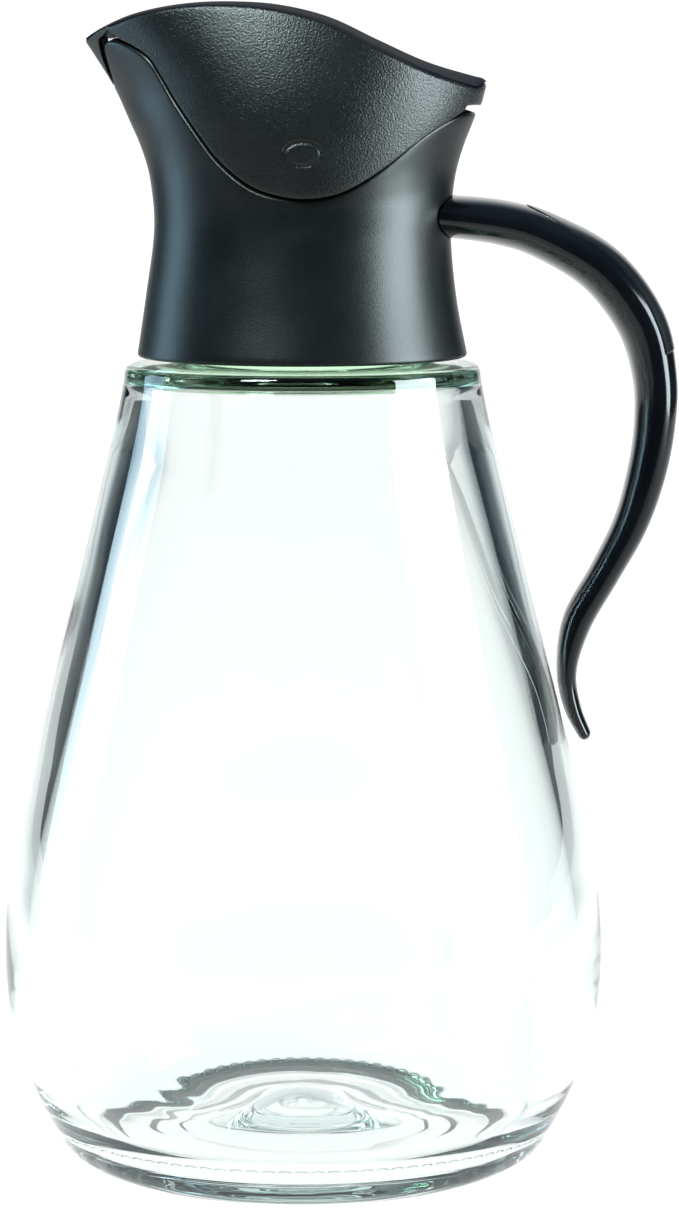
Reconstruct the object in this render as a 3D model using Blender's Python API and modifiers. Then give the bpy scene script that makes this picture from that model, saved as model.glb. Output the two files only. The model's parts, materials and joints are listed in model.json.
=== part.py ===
# A clear glass syrup dispenser: a pear-shaped bottle, a waisted pouring collar, a flip lid with a beak
# and an S-shaped handle with an inlaid strip. Metres, +Z up, the spout towards -X, the handle towards +X.
# Shapes are written about the bottle's axis, and one empty carries them all to the frame's origin.

import math

import bmesh
import bpy
from mathutils import Vector

OBJECT_NAME = "syrup_dispenser"

# Where the bottle's axis stands, so that the origin is the middle of the whole object's footprint.
AXIS_X = -0.00720

# Bottle: radius and height down the outside, then the foot and its hollow, then the inside going up.
BOTTLE_SIDES = 48
NECK_TOP_Z = 0.1790
NECK_RADIUS = 0.0245
NECK_BORE = 0.0205
NECK_BORE_FOOT_Z = 0.1625
NECK_EDGE = 0.0010
NECK_FILLET = [(0.0, 0.0022), (0.0008, 0.0008), (0.0028, 0.0)]
SHOULDER_Z = 0.1634
SHOULDER_RADIUS = 0.0363
SHOULDER_CORNER = 0.0013
WIDEST_RADIUS = 0.0620
FOOT_INNER = 0.0425
FOOT_OUTER = 0.0460
BODY_OUTSIDE = [
    (SHOULDER_RADIUS, 0.1612),
    (0.0390, 0.1480),
    (0.0468, 0.1170),
    (0.0561, 0.0800),
    (0.0604, 0.0600),
    (WIDEST_RADIUS, 0.0430),
    (0.0607, 0.0270),
    (0.0564, 0.0140),
    (0.0516, 0.0045),
]
HEEL_POINT = (0.0488, 0.0014)
HOLLOW_UNDER_FOOT = [(0.0405, 0.0010), (0.0325, 0.0012), (0.0300, 0.0022), (0.0130, 0.0055)]
HOLLOW_HEIGHT = 0.0060
BODY_INSIDE = [
    (0.0340, 0.0049),
    (0.0400, 0.0054),
    (0.0455, 0.0078),
    (0.0502, 0.0128),
    (0.0543, 0.0235),
    (0.0568, 0.0430),
    (0.0552, 0.0600),
    (0.0509, 0.0800),
    (0.0417, 0.1170),
    (0.0342, 0.1460),
]
FLOOR_RING = [(0.0113, 0.0098), (0.0220, 0.0063)]
FLOOR_CENTRE_Z = 0.0106
UNDER_SHOULDER = [(0.0324, 0.1560), (0.0312, 0.1602), (0.0232, 0.1610)]

# Head: height, reach to the front, reach to the rear, half width, and how pointed the front is.
HEAD_STATIONS = [
    (0.1650, 0.0337, 0.0336, 0.0337, 1.00),
    (0.1770, 0.0319, 0.0313, 0.0316, 1.00),
    (0.1910, 0.0301, 0.0301, 0.0301, 1.00),
    (0.2010, 0.0309, 0.0310, 0.0311, 1.04),
    (0.2070, 0.0326, 0.0325, 0.0320, 1.12),
    (0.2130, 0.0352, 0.0348, 0.0325, 1.22),
    (0.2190, 0.0379, 0.0367, 0.0327, 1.34),
    (0.2260, 0.0422, 0.0384, 0.0324, 1.46),
    (0.2300, 0.0449, 0.0392, 0.0320, 1.52),
    (0.2380, 0.0500, 0.0404, 0.0310, 1.60),
]
COLLAR_FOOT_Z = HEAD_STATIONS[0][0]
HEAD_HALF_COLUMNS = 33

# Joint between lid and collar, seen from the side: (x, z) from the front to the rear.
SEAM = [
    (-0.0334, 0.2268),
    (-0.0302, 0.2246),
    (-0.0276, 0.2207),
    (-0.0244, 0.2155),
    (-0.0175, 0.2059),
    (-0.0110, 0.2002),
    (-0.0049, 0.1978),
    (0.0015, 0.1972),
    (0.0082, 0.1985),
    (0.0158, 0.2028),
    (0.0246, 0.2094),
    (0.0300, 0.2129),
]
SEAM_GAP = 0.0005
# Angles run from 0 at the front to 180 degrees at the rear.
COLLAR_SLOT = [(0.0, 0.2192), (9.0, 0.2203), (16.0, 0.2232), (21.0, 0.2262), (25.0, 0.2278), (32.0, 0.2279)]
COLLAR_REAR = [(163.0, 0.2139), (180.0, 0.2140)]
BEAK_EDGE = [(0.0, 0.2197), (6.0, 0.2207), (12.0, 0.2234), (17.5, 0.2263), (22.0, 0.2284), (27.0, 0.2294)]
FRONT_NOTCH = [(31.0, 0.2303), (32.5, 0.2298), (34.0, 0.2286)]
REAR_NOTCH = [(155.5, 0.2147), (157.5, 0.2155), (180.0, 0.2156)]
BEAK_ANGLE = 27.0
SKIRT_ANGLE = 33.0
BEAK_FADE = 4.0
BEAK_NARROWING = 0.16
# Rear face of the solid beak, as (x, z), and how much narrower it is than the beak's edge.
BEAK_BACK = (-0.0392, 0.2290)
BEAK_BACK_WIDTH = 0.90
BEAK_UNDERSIDE_WIDTH = 0.45

# Lid: the crest of its top, seen from the side, and the height from the rim up to the crest.
CREST = [
    (-0.0440, 0.2286),
    (-0.0396, 0.2314),
    (-0.0331, 0.2340),
    (-0.0234, 0.2358),
    (-0.0137, 0.2362),
    (-0.0041, 0.2355),
    (0.0056, 0.2331),
    (0.0153, 0.2286),
    (0.0250, 0.2243),
    (0.0347, 0.2214),
    (0.0376, 0.2208),
]
CROWN_FRONT = 0.0011
CROWN_REAR = 0.0024
CROWN_RUN = 0.0080
CREST_LENGTH = 0.965
RIM_ROUNDING = 0.0008
TOP_THICKNESS_FRONT = 0.0021
TOP_THICKNESS_REAR = 0.0014
LID_WALL = 0.0018
LID_LIP = 0.0007
LIP_RUN = 0.0050
LID_PROUD = 0.00045
PROUD_RUN = 0.0120
# Of a wall that is low, as over the notch in front, the shares that its rounded rim and its edge take.
RIM_SHARE = 0.40
LIP_SHARE = 0.25
LOW_WALL = (0.0015, 0.0035)

# Where the lid's rings lie: from the crest out to the rim, down the skirt, and back up and in.
CROWN_RINGS = (1.0, 0.72, 0.46, 0.22, 0.06)
RIM_RINGS = (0.35, 1.0)
SKIRT_RINGS = (0.20, 0.42, 0.62, 0.80, 0.93)
INNER_SKIRT_RINGS = (0.15, 0.35, 0.60, 0.82, 1.0)
INNER_TOP_RINGS = (0.30, 0.65, 1.0)

# Collar: wall, the relief behind the pivot that the skirt swings down over, and the screw socket.
COLLAR_WALL = 0.0022
COLLAR_RINGS = (0.0, 0.035, 0.16, 0.30, 0.45, 0.60, 0.75, 0.88)
COLLAR_INNER_RINGS = (0.15, 0.40, 0.70, 1.0)
COLLAR_TOP_MARGIN = 0.0010
EDGE_ROUNDING = 0.0006
RELIEF_DEPTH = 0.0008
RELIEF_FRONT = (-0.0060, 0.0010)
RELIEF_REAR = (0.0230, 0.0330)
RELIEF_FOOT_Z = 0.1955
RELIEF_RISE = 6.6
RELIEF_FADE = 0.0070
SOCKET_RADIUS = 0.0249
SOCKET_TOP_Z = 0.1794
WEB_THICKNESS = 0.0024
WEB_HOLE = 0.0190

# Hinge of the lid.
PIVOT = (0.0004, 0.2061)
PIN_RADIUS = 0.0013
PIN_CLEARANCE = 0.0003
PIN_ROOT = 0.0004
PIN_END = 0.0311
BORE_START = 0.0200
EAR_INSIDE = 0.0270
EAR_OUTSIDE = 0.0288
EAR_HALF_WIDTH = 0.0038
EAR_FOOT_Z = 0.1900
BOSS_HALF_LENGTH = 0.0044
BOSS_HALF_HEIGHT = 0.0031
BOSS_GROOVE_WIDTH = 0.0013
BOSS_GROOVE_DEPTH = 0.0005
BOSS_CUT_HEIGHT = 0.0080
BOSS_SIDES = 28

# Handle: middle line (x, z), thickness and half width, from the collar to the tail.
HANDLE_STATIONS = [
    (0.0270, 0.1935, 0.0085, 0.0134),
    (0.0400, 0.1920, 0.0091, 0.0130),
    (0.0493, 0.1891, 0.0094, 0.0124),
    (0.0607, 0.1824, 0.0101, 0.0117),
    (0.0688, 0.1718, 0.0099, 0.0109),
    (0.0719, 0.1605, 0.0089, 0.0101),
    (0.0719, 0.1501, 0.0082, 0.0095),
    (0.0702, 0.1400, 0.0077, 0.0089),
    (0.0671, 0.1301, 0.0069, 0.0083),
    (0.0620, 0.1202, 0.0062, 0.0077),
    (0.0565, 0.1102, 0.0060, 0.0071),
    (0.0544, 0.1004, 0.0042, 0.0065),
    (0.0556, 0.0925, 0.0036, 0.0058),
    (0.0589, 0.0852, 0.0026, 0.0046),
]
HANDLE_SIDES = 20
HANDLE_STEPS = 2
HANDLE_SQUARENESS = 0.86
HANDLE_GAP = 0.0003
TENON_SIZE = (0.0080, 0.0130, 0.0034)
TENON_PLACE = (0.0306, 0.1934)
TENON_CLEARANCE = 0.0003

# Inlaid strip on the handle's back: stations along the middle line where it starts and ends.
INLAY_START = 1.45
INLAY_END = 4.55
INLAY_HALF_WIDTH = 0.0098
INLAY_THICKNESS = 0.0014
INLAY_PROUD = 0.0002
INLAY_GAP = 0.0003
INLAY_BED_LENGTHENED = 0.03
INLAY_BED_HEIGHT = 0.0040
INLAY_TAPER = 0.30
INLAY_TIP_WIDTH = 0.25
INLAY_WIDTH_LIMIT = 0.90
INLAY_ROWS = 13
INLAY_COLUMNS = 6


def smooth(share):
    share = min(max(share, 0.0), 1.0)
    return share * share * (3.0 - 2.0 * share)


def curve_through(points, steps):
    """Points of a smooth curve through the given ones, with that many steps between each two."""
    ends = [2 * points[0] - points[1]] + points + [2 * points[-1] - points[-2]]
    found = []
    for i in range(1, len(ends) - 2):
        before, start, end, after = ends[i - 1], ends[i], ends[i + 1], ends[i + 2]
        for step in range(steps):
            t = step / steps
            found.append(
                0.5 * (2 * start + (end - before) * t
                       + (2 * before - 5 * start + 4 * end - after) * t ** 2
                       + (3 * start - before - 3 * end + after) * t ** 3)
            )
    found.append(points[-1].copy())
    return found


def at_height(table, height):
    """A row of the table at a height between its rows, on smooth curves."""
    place = 0
    while place < len(table) - 2 and height > table[place + 1][0]:
        place += 1
    start, end = table[place], table[place + 1]
    before = table[max(place - 1, 0)]
    after = table[min(place + 2, len(table) - 1)]
    t = (height - start[0]) / (end[0] - start[0])
    span = end[0] - start[0]
    values = []
    for k in range(1, len(start)):
        leave = (end[k] - before[k]) / (end[0] - before[0]) * span
        arrive = (after[k] - start[k]) / (after[0] - start[0]) * span
        values.append(
            (2 * t ** 3 - 3 * t ** 2 + 1) * start[k] + (t ** 3 - 2 * t ** 2 + t) * leave
            + (3 * t ** 2 - 2 * t ** 3) * end[k] + (t ** 3 - t ** 2) * arrive
        )
    return values


def head_point(angle, height, inwards=0.0):
    """The head's outer form at an angle from the front, in radians, or that far inside it."""
    front, rear, side, point = at_height(HEAD_STATIONS, height)
    if math.cos(angle) > 0:
        reach, power = front, point
    else:
        reach, power = rear, 1.0
    across = abs(math.sin(angle)) ** power
    return Vector((-(reach - inwards) * math.cos(angle), -(side - inwards) * across, height))


def head_normal(angle, height):
    along = head_point(angle + 0.01, height) - head_point(angle - 0.01, height)
    if angle < 0.01 or angle > math.pi - 0.01:
        along = Vector((0.0, -1.0, 0.0)) if angle < 1.0 else Vector((0.0, 1.0, 0.0))
    up = head_point(angle, height + 0.0002) - head_point(angle, height - 0.0002)
    return along.cross(up).normalized()


def head_angle(x, height):
    front, rear = at_height(HEAD_STATIONS, height)[:2]
    share = -x / front if x < 0 else -x / rear
    return math.acos(min(max(share, -1.0), 1.0))


def seam_shifted(distance):
    """The seam moved up by a distance, square to itself in the side view."""
    moved = []
    for i, (x, z) in enumerate(SEAM):
        before = SEAM[max(i - 1, 0)]
        after = SEAM[min(i + 1, len(SEAM) - 1)]
        run, rise = after[0] - before[0], after[1] - before[1]
        length = math.hypot(run, rise)
        moved.append((x - distance * rise / length, z + distance * run / length))
    return moved


def edge_curve(front, shift, rear):
    """An edge of lid or collar, as (angle, height) from the front middle to the rear middle."""
    corners = [Vector((math.radians(angle), height * 100)) for angle, height in front]
    corners += [Vector((head_angle(x, z), z * 100)) for x, z in seam_shifted(shift)]
    corners += [Vector((math.radians(angle), height * 100)) for angle, height in rear]
    fine = curve_through(corners, 24)
    lengths = [0.0]
    for a, b in zip(fine, fine[1:]):
        run = (head_point(b.x, b.y / 100) - head_point(a.x, a.y / 100)).length
        lengths.append(lengths[-1] + run + 0.012 * abs(b.x - a.x) * (a.x < 0.75))
    picked = []
    place = 0
    for step in range(HEAD_HALF_COLUMNS + 1):
        target = lengths[-1] * step / HEAD_HALF_COLUMNS
        while place < len(lengths) - 2 and lengths[place + 1] < target:
            place += 1
        share = (target - lengths[place]) / max(lengths[place + 1] - lengths[place], 1e-9)
        point = fine[place].lerp(fine[place + 1], min(max(share, 0.0), 1.0))
        picked.append((min(max(point.x, 0.0), math.pi), point.y / 100))
    return picked


def whole_ring(half):
    """A closed ring from its near half, whose ends lie on the middle plane."""
    mirrored = [Vector((p.x, -p.y, p.z)) for p in reversed(half[1:-1])]
    ends = [Vector((half[0].x, 0.0, half[0].z))]
    last = [Vector((half[-1].x, 0.0, half[-1].z))]
    return ends + half[1:-1] + last + mirrored


def skinned(name, rings, closed_loop):
    """A mesh object over rings of as many points each. A ring along the middle plane closes the form."""
    mesh = bmesh.new()
    rows = [[mesh.verts.new(p) for p in ring] for ring in rings]
    pairs = list(zip(rows, rows[1:]))
    if closed_loop:
        pairs.append((rows[-1], rows[0]))
    for upper, lower in pairs:
        for i in range(len(upper)):
            j = (i + 1) % len(upper)
            mesh.faces.new((upper[i], upper[j], lower[j], lower[i]))
    bmesh.ops.remove_doubles(mesh, verts=mesh.verts, dist=0.00001)
    mesh.normal_update()
    bmesh.ops.recalc_face_normals(mesh, faces=mesh.faces)
    return object_from(name, mesh)


def object_from(name, mesh):
    data = bpy.data.meshes.new(name)
    mesh.to_mesh(data)
    mesh.free()
    return bpy.data.objects.new(name, data)


def material(name, colour, roughness, metallic=0.0, alpha=1.0):
    made = bpy.data.materials.new(name)
    made.use_nodes = True
    shader = made.node_tree.nodes["Principled BSDF"]
    shader.inputs["Base Color"].default_value = (*colour, 1.0)
    shader.inputs["Roughness"].default_value = roughness
    shader.inputs["Metallic"].default_value = metallic
    shader.inputs["Alpha"].default_value = alpha
    return made


def finish(obj, surface):
    """Puts a piece in the object's collection, on the carrying empty, with its material."""
    parts.objects.link(obj)
    obj.parent = carrier
    obj.data.materials.append(surface)
    obj.data.shade_smooth()
    obj.data.set_sharp_from_angle(angle=math.radians(40))
    return obj


def helper(obj):
    """Puts a cutter or a joined shape among the cutters, hidden from renders."""
    cutters.objects.link(obj)
    obj.parent = carrier
    obj.hide_render = True
    obj.display_type = "WIRE"
    return obj


def boolean(target, tool, operation):
    change = target.modifiers.new(tool.name, "BOOLEAN")
    change.object = tool
    change.operation = operation
    change.solver = "EXACT"


def rod(name, radius, start, end, sides=20):
    """A round bar along Y at the pivot."""
    mesh = bmesh.new()
    length = abs(end - start)
    bmesh.ops.create_cone(mesh, cap_ends=True, segments=sides, radius1=radius, radius2=radius, depth=length)
    for vert in mesh.verts:
        x, y, z = vert.co
        vert.co = (PIVOT[0] + x, (start + end) / 2 + z, PIVOT[1] - y)
    return object_from(name, mesh)


def block(name, low, high):
    mesh = bmesh.new()
    bmesh.ops.create_cube(mesh, size=1.0)
    for vert in mesh.verts:
        vert.co = [(a + b) / 2 + c * (b - a) for a, b, c in zip(low, high, vert.co)]
    return object_from(name, mesh)


def upright(points):
    """Points in the plane of radius and height, as places in space."""
    return [Vector((radius, 0.0, height)) for radius, height in points]


def make_bottle():
    """Turned from one profile: up the inside, over the lip, down the outside and under the foot."""
    profile = upright([(0.0, FLOOR_CENTRE_Z)] + FLOOR_RING)
    profile += curve_through(upright(BODY_INSIDE), 2)
    profile += upright(UNDER_SHOULDER)
    profile += upright([
        (NECK_BORE, NECK_BORE_FOOT_Z),
        (NECK_BORE, NECK_TOP_Z - NECK_EDGE),
        (NECK_BORE + NECK_EDGE, NECK_TOP_Z),
        (NECK_RADIUS - NECK_EDGE, NECK_TOP_Z),
        (NECK_RADIUS, NECK_TOP_Z - NECK_EDGE),
    ])
    profile += upright([(NECK_RADIUS + out, SHOULDER_Z + up) for out, up in NECK_FILLET])
    for turn in (90, 60, 30, 0):
        angle = math.radians(turn)
        out = SHOULDER_CORNER * (1.0 - math.cos(angle))
        down = SHOULDER_CORNER * (1.0 - math.sin(angle))
        profile += upright([(SHOULDER_RADIUS - out, SHOULDER_Z - down)])
    profile += curve_through(upright(BODY_OUTSIDE), 2)[1:]
    profile += upright([HEEL_POINT, (FOOT_OUTER, 0.0), (FOOT_INNER, 0.0)])
    profile += upright(HOLLOW_UNDER_FOOT + [(0.0, HOLLOW_HEIGHT)])
    mesh = bmesh.new()
    verts = [mesh.verts.new(p) for p in profile]
    for a, b in zip(verts, verts[1:]):
        mesh.edges.new((a, b))
    bottle = object_from("glass_bottle", mesh)
    turned = bottle.modifiers.new("turned", "SCREW")
    turned.steps = BOTTLE_SIDES
    turned.render_steps = BOTTLE_SIDES
    turned.use_merge_vertices = True
    turned.merge_threshold = 0.00001
    finish(bottle, material("clear_glass", (0.80, 0.90, 0.86), 0.03, alpha=0.35))


def relief_depth(x, height):
    """How far the collar's wall stands back where the lid's skirt swings down past it."""
    along = smooth((x - RELIEF_FRONT[0]) / (RELIEF_FRONT[1] - RELIEF_FRONT[0]))
    along *= 1.0 - smooth((x - RELIEF_REAR[0]) / (RELIEF_REAR[1] - RELIEF_REAR[0]))
    foot = RELIEF_FOOT_Z + RELIEF_RISE * x * x
    return RELIEF_DEPTH * along * smooth((height - foot + RELIEF_FADE) / RELIEF_FADE)


def collar_outside(angle, height):
    point = head_point(angle, height)
    return point - head_normal(angle, height) * relief_depth(point.x, height)


def edge_frame(edge, surface):
    """For each point of an edge: the point, the wall's normal there and the way up off the edge."""
    points = [surface(angle, height) for angle, height in edge]
    frames = []
    for i, (angle, height) in enumerate(edge):
        if i == 0 or i == len(edge) - 1:
            along = Vector((0.0, -1.0 if i == 0 else 1.0, 0.0))
        else:
            along = points[i + 1] - points[i - 1]
        normal = head_normal(angle, height)
        away = normal.cross(along).normalized()
        frames.append((points[i], normal, away))
    return frames


def make_collar():
    """A tube of rings: up the outside, over the rounded edge, down the inside to the web and the socket."""
    edge = edge_curve(COLLAR_SLOT, -SEAM_GAP / 2, COLLAR_REAR)
    frames = edge_frame(edge, collar_outside)
    count = len(edge) - 1
    rings = []
    for share in COLLAR_RINGS:
        half = []
        for i, (angle, height) in enumerate(edge):
            even = math.pi * i / count
            way = even + (angle - even) * smooth(share * 1.4)
            level = COLLAR_FOOT_Z + (height - COLLAR_TOP_MARGIN - COLLAR_FOOT_Z) * share
            point = collar_outside(way, level)
            if share == 0.0:
                point = head_point(way, level, EDGE_ROUNDING)
            half.append(point)
        rings.append(whole_ring(half))
    for turn in (0, 45, 90):
        angle = math.radians(turn)
        down = EDGE_ROUNDING * (1.0 - math.sin(angle))
        deep = EDGE_ROUNDING * (1.0 - math.cos(angle))
        rings.append(whole_ring([p - up * down - normal * deep for p, normal, up in frames]))
    rings.append(whole_ring([point - normal * COLLAR_WALL for point, normal, up in frames]))
    web_top = SOCKET_TOP_Z + WEB_THICKNESS
    for share in COLLAR_INNER_RINGS:
        half = []
        for i, (angle, height) in enumerate(edge):
            even = math.pi * i / count
            way = angle + (even - angle) * smooth(share)
            top = height - COLLAR_TOP_MARGIN
            level = top + (web_top - top) * share
            point = collar_outside(way, level)
            half.append(point - head_normal(way, level) * COLLAR_WALL)
        rings.append(whole_ring(half))
    for radius, level in ((WEB_HOLE, web_top), (WEB_HOLE, SOCKET_TOP_Z), (SOCKET_RADIUS, SOCKET_TOP_Z),
                          (SOCKET_RADIUS, COLLAR_FOOT_Z)):
        half = []
        for i in range(count + 1):
            even = math.pi * i / count
            half.append(Vector((-radius * math.cos(even), -radius * math.sin(even), level)))
        rings.append(whole_ring(half))
    collar = skinned("pourer_collar", rings, True)
    for side, name in ((-1, "near"), (1, "far")):
        inner, outer = sorted((side * EAR_INSIDE, side * EAR_OUTSIDE))
        low = (PIVOT[0] - EAR_HALF_WIDTH, inner, EAR_FOOT_Z)
        high = (PIVOT[0] + EAR_HALF_WIDTH, outer, PIVOT[1] + EAR_HALF_WIDTH)
        ear = helper(block("ear_" + name, low, high))
        boolean(collar, ear, "UNION")
        pin = helper(rod("pin_" + name, PIN_RADIUS, side * (EAR_INSIDE + PIN_ROOT), side * PIN_END))
        boolean(collar, pin, "UNION")
    length, width, depth = TENON_SIZE
    spare = TENON_CLEARANCE
    x, z = TENON_PLACE
    low = (x - length / 2 - spare, -width / 2 - spare, z - depth / 2 - spare)
    high = (x + length / 2 + spare, width / 2 + spare, z + depth / 2 + spare)
    boolean(collar, helper(block("tenon_slot", low, high)), "DIFFERENCE")
    finish(collar, material("satin_black_plastic", (0.035, 0.038, 0.042), 0.42))
    return collar


def crest_height(x):
    return at_height(CREST, x)[0]


def crown_height(x):
    """How far the rim lies under the crest: less at the front, and nothing at either tip."""
    share = smooth((x + 0.030) / 0.060)
    crown = CROWN_FRONT + (CROWN_REAR - CROWN_FRONT) * share
    return crown * smooth((x - CREST[0][0]) / CROWN_RUN) * smooth((CREST[-1][0] - x) / (CROWN_RUN / 2) + 0.25)


def top_thickness(x):
    """The lid's top is thinner at the rear, where it comes down over the collar as the lid opens."""
    share = smooth((x + 0.010) / 0.030)
    return TOP_THICKNESS_FRONT + (TOP_THICKNESS_REAR - TOP_THICKNESS_FRONT) * share


def rim_level(angle, under):
    """The height at which a wall column meets the lid's top, with under 0, or its underside, with under 1."""
    level = 0.2300
    for _ in range(12):
        x = lid_outside(angle, level, 1.0).x
        level += 0.6 * (crest_height(x) - crown_height(x) - top_thickness(x) * under - level)
    return level


def lid_outside(angle, height, above):
    """The lid's outer form. above is the distance up from the skirt's edge, where the skirt stands proud."""
    point = head_point(angle, height)
    widening = smooth((math.degrees(angle) - BEAK_ANGLE) / (SKIRT_ANGLE - BEAK_ANGLE))
    point.y *= 1.0 - BEAK_NARROWING * (1.0 - widening)
    behind = smooth((point.x - RELIEF_FRONT[0]) / (RELIEF_FRONT[1] - RELIEF_FRONT[0]))
    proud = LID_PROUD * behind * (1.0 - smooth(above / PROUD_RUN))
    return point + head_normal(angle, height) * proud


def lid_inside(angle, height, above):
    """The wall's inner side, thin at the skirt's edge."""
    wall = LID_LIP + (LID_WALL - LID_LIP) * smooth(above / LIP_RUN)
    return lid_outside(angle, height, above) - head_normal(angle, height) * wall


def beak_share(angle):
    """1 in the beak, which is solid, falling to 0 where the skirt's thin wall begins."""
    return 1.0 - smooth((math.degrees(angle) - BEAK_ANGLE + BEAK_FADE) / BEAK_FADE)


def lid_columns():
    """Per column round the lid: its angle, edge height, rim height, rounding, lip and how low its wall is."""
    columns = []
    for angle, height in edge_curve(BEAK_EDGE + FRONT_NOTCH, SEAM_GAP / 2, REAR_NOTCH):
        rim = rim_level(angle, 0)
        span = rim - height
        rounding = min(RIM_ROUNDING, RIM_SHARE * span)
        lip = min(LID_LIP / 2, LIP_SHARE * span)
        low = 1.0 - smooth((span - LOW_WALL[0]) / (LOW_WALL[1] - LOW_WALL[0]))
        columns.append((angle, height, rim, rounding, lip, low))
    return columns


def crown_ring(points, share, under):
    """A ring of the lid's top, or of its underside with under 1, from rim (share 0) to crest (share 1)."""
    half = []
    for point in points:
        x = point.x * (1.0 - (1.0 - CREST_LENGTH) * share)
        level = crest_height(x) - top_thickness(x) * under - crown_height(point.x) * (1.0 - share) ** 2
        if under:
            level = point.z + (level - point.z) * smooth(share * 1.5)
        half.append(Vector((x, point.y * (1.0 - share), level)))
    return whole_ring(half)


def lid_edge_rings(columns):
    """Round the skirt's edge: outer corner, tip and inner corner, closed across under the beak."""
    edge = [(angle, height) for angle, height, *rest in columns]
    frames = edge_frame(edge, lambda angle, height: lid_outside(angle, height, 0.0))
    outer, tip, inner = [], [], []
    for (angle, height, rim, rounding, lip, low), (point, normal, up) in zip(columns, frames):
        outer.append(point + up * lip)
        tip.append(point - normal * LID_LIP / 2)
        corner = point + up * lip - normal * LID_LIP
        underside = Vector((corner.x, point.y * BEAK_UNDERSIDE_WIDTH, point.z))
        inner.append(corner.lerp(underside, beak_share(angle)))
    return outer, tip, inner


def make_lid():
    """A shell of rings: from the crest out, over the rim, down the skirt, round its edge and back inside."""
    columns = lid_columns()
    outer, tip, inner = lid_edge_rings(columns)
    walls = [lid_outside(angle, rim, 1.0) for angle, height, rim, *rest in columns]
    rings = [crown_ring(walls, share, 0) for share in CROWN_RINGS]
    for down in RIM_RINGS:
        half = []
        for angle, height, rim, rounding, lip, low in columns:
            z = rim - rounding * down
            half.append(lid_outside(angle, z, z - height))
        rings.append(whole_ring(half))
    for share in SKIRT_RINGS:
        half = []
        for corner, (angle, height, rim, rounding, lip, low) in zip(outer, columns):
            top = rim - rounding
            z = top + (corner.z - top) * share
            lean = corner - lid_outside(angle, corner.z, corner.z - height)
            half.append(lid_outside(angle, z, z - height) + lean * share ** 2)
        rings.append(whole_ring(half))
    rings += [whole_ring(outer), whole_ring(tip), whole_ring(inner)]
    inner_rims = []
    for corner, (angle, height, rim, rounding, lip, low) in zip(inner, columns):
        rim_under = lid_inside(angle, rim_level(angle, 1), 1.0)
        back = Vector((BEAK_BACK[0], corner.y * BEAK_BACK_WIDTH, BEAK_BACK[1]))
        inner_rims.append(rim_under.lerp(back, beak_share(angle)))
    for share in INNER_SKIRT_RINGS:
        half = []
        for corner, goal, (angle, height, rim, rounding, lip, low) in zip(inner, inner_rims, columns):
            straight = corner.lerp(goal, share)
            lean = corner - lid_inside(angle, corner.z, corner.z - height)
            curved = lid_inside(angle, straight.z, straight.z - height) + lean * (1.0 - share)
            kept = 1.0 if share == 1.0 else max(beak_share(angle), low)
            half.append(curved.lerp(straight, kept))
        rings.append(whole_ring(half))
    rings += [crown_ring(inner_rims, share, 1) for share in INNER_TOP_RINGS]
    lid = skinned("flip_lid", rings, False)
    for side, name in ((-1, "near"), (1, "far")):
        bore_end = side * (PIN_END + PIN_CLEARANCE)
        bore = helper(rod("bore_" + name, PIN_RADIUS + PIN_CLEARANCE, side * BORE_START, bore_end))
        boolean(lid, bore, "DIFFERENCE")
        groove = helper(boss_groove("boss_groove_" + name, side))
        boolean(lid, groove, "DIFFERENCE")
    finish(lid, material("textured_black_plastic", (0.042, 0.046, 0.048), 0.50))
    lid.parent = hinge
    lid.location = (-PIVOT[0], 0.0, -PIVOT[1])
    return lid


def boss_groove(name, side):
    """An oval ring that cuts the groove round the pivot boss on one side of the lid."""
    mesh = bmesh.new()
    wall = abs(head_point(head_angle(PIVOT[0], PIVOT[1]), PIVOT[1]).y)
    floor_y = side * (wall + LID_PROUD / 2 - BOSS_GROOVE_DEPTH)
    open_y = side * (wall + BOSS_CUT_HEIGHT)
    loops = []
    inwards = BOSS_GROOVE_WIDTH
    for shrink, y in ((0.0, open_y), (0.0, floor_y), (inwards, floor_y), (inwards, open_y)):
        loop = []
        for i in range(BOSS_SIDES):
            turn = 2 * math.pi * i / BOSS_SIDES
            x = PIVOT[0] + (BOSS_HALF_LENGTH - shrink) * math.cos(turn)
            z = PIVOT[1] + (BOSS_HALF_HEIGHT - shrink) * math.sin(turn)
            loop.append(mesh.verts.new((x, y, z)))
        loops.append(loop)
    for a, b in zip(loops, loops[1:] + loops[:1]):
        for i in range(BOSS_SIDES):
            j = (i + 1) % BOSS_SIDES
            mesh.faces.new((a[i], a[j], b[j], b[i]))
    mesh.normal_update()
    bmesh.ops.recalc_face_normals(mesh, faces=mesh.faces)
    return object_from(name, mesh)


def handle_frames(start, end, rows):
    """Middle point, outward direction, thickness and half width at even steps along the handle."""
    places = curve_through([Vector((x, 0.0, z)) for x, z, thick, wide in HANDLE_STATIONS], 16)
    sizes = curve_through([Vector((thick, wide, 0.0)) for x, z, thick, wide in HANDLE_STATIONS], 16)
    frames = []
    for row in range(rows + 1):
        place = (start + (end - start) * row / rows) * 16
        i = min(int(place), len(places) - 2)
        share = place - i
        point = places[i].lerp(places[i + 1], share)
        size = sizes[i].lerp(sizes[i + 1], share)
        before = places[max(i - 3, 0)]
        after = places[min(i + 4, len(places) - 1)]
        along = (after - before).normalized()
        outwards = Vector((-along.z, 0.0, along.x))
        frames.append((point, outwards, size.x, size.y))
    return frames


def superellipse(turn):
    """A rounded-square section's unit point."""
    c, s = math.cos(turn), math.sin(turn)
    return (math.copysign(abs(c) ** HANDLE_SQUARENESS, c), math.copysign(abs(s) ** HANDLE_SQUARENESS, s))


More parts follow.
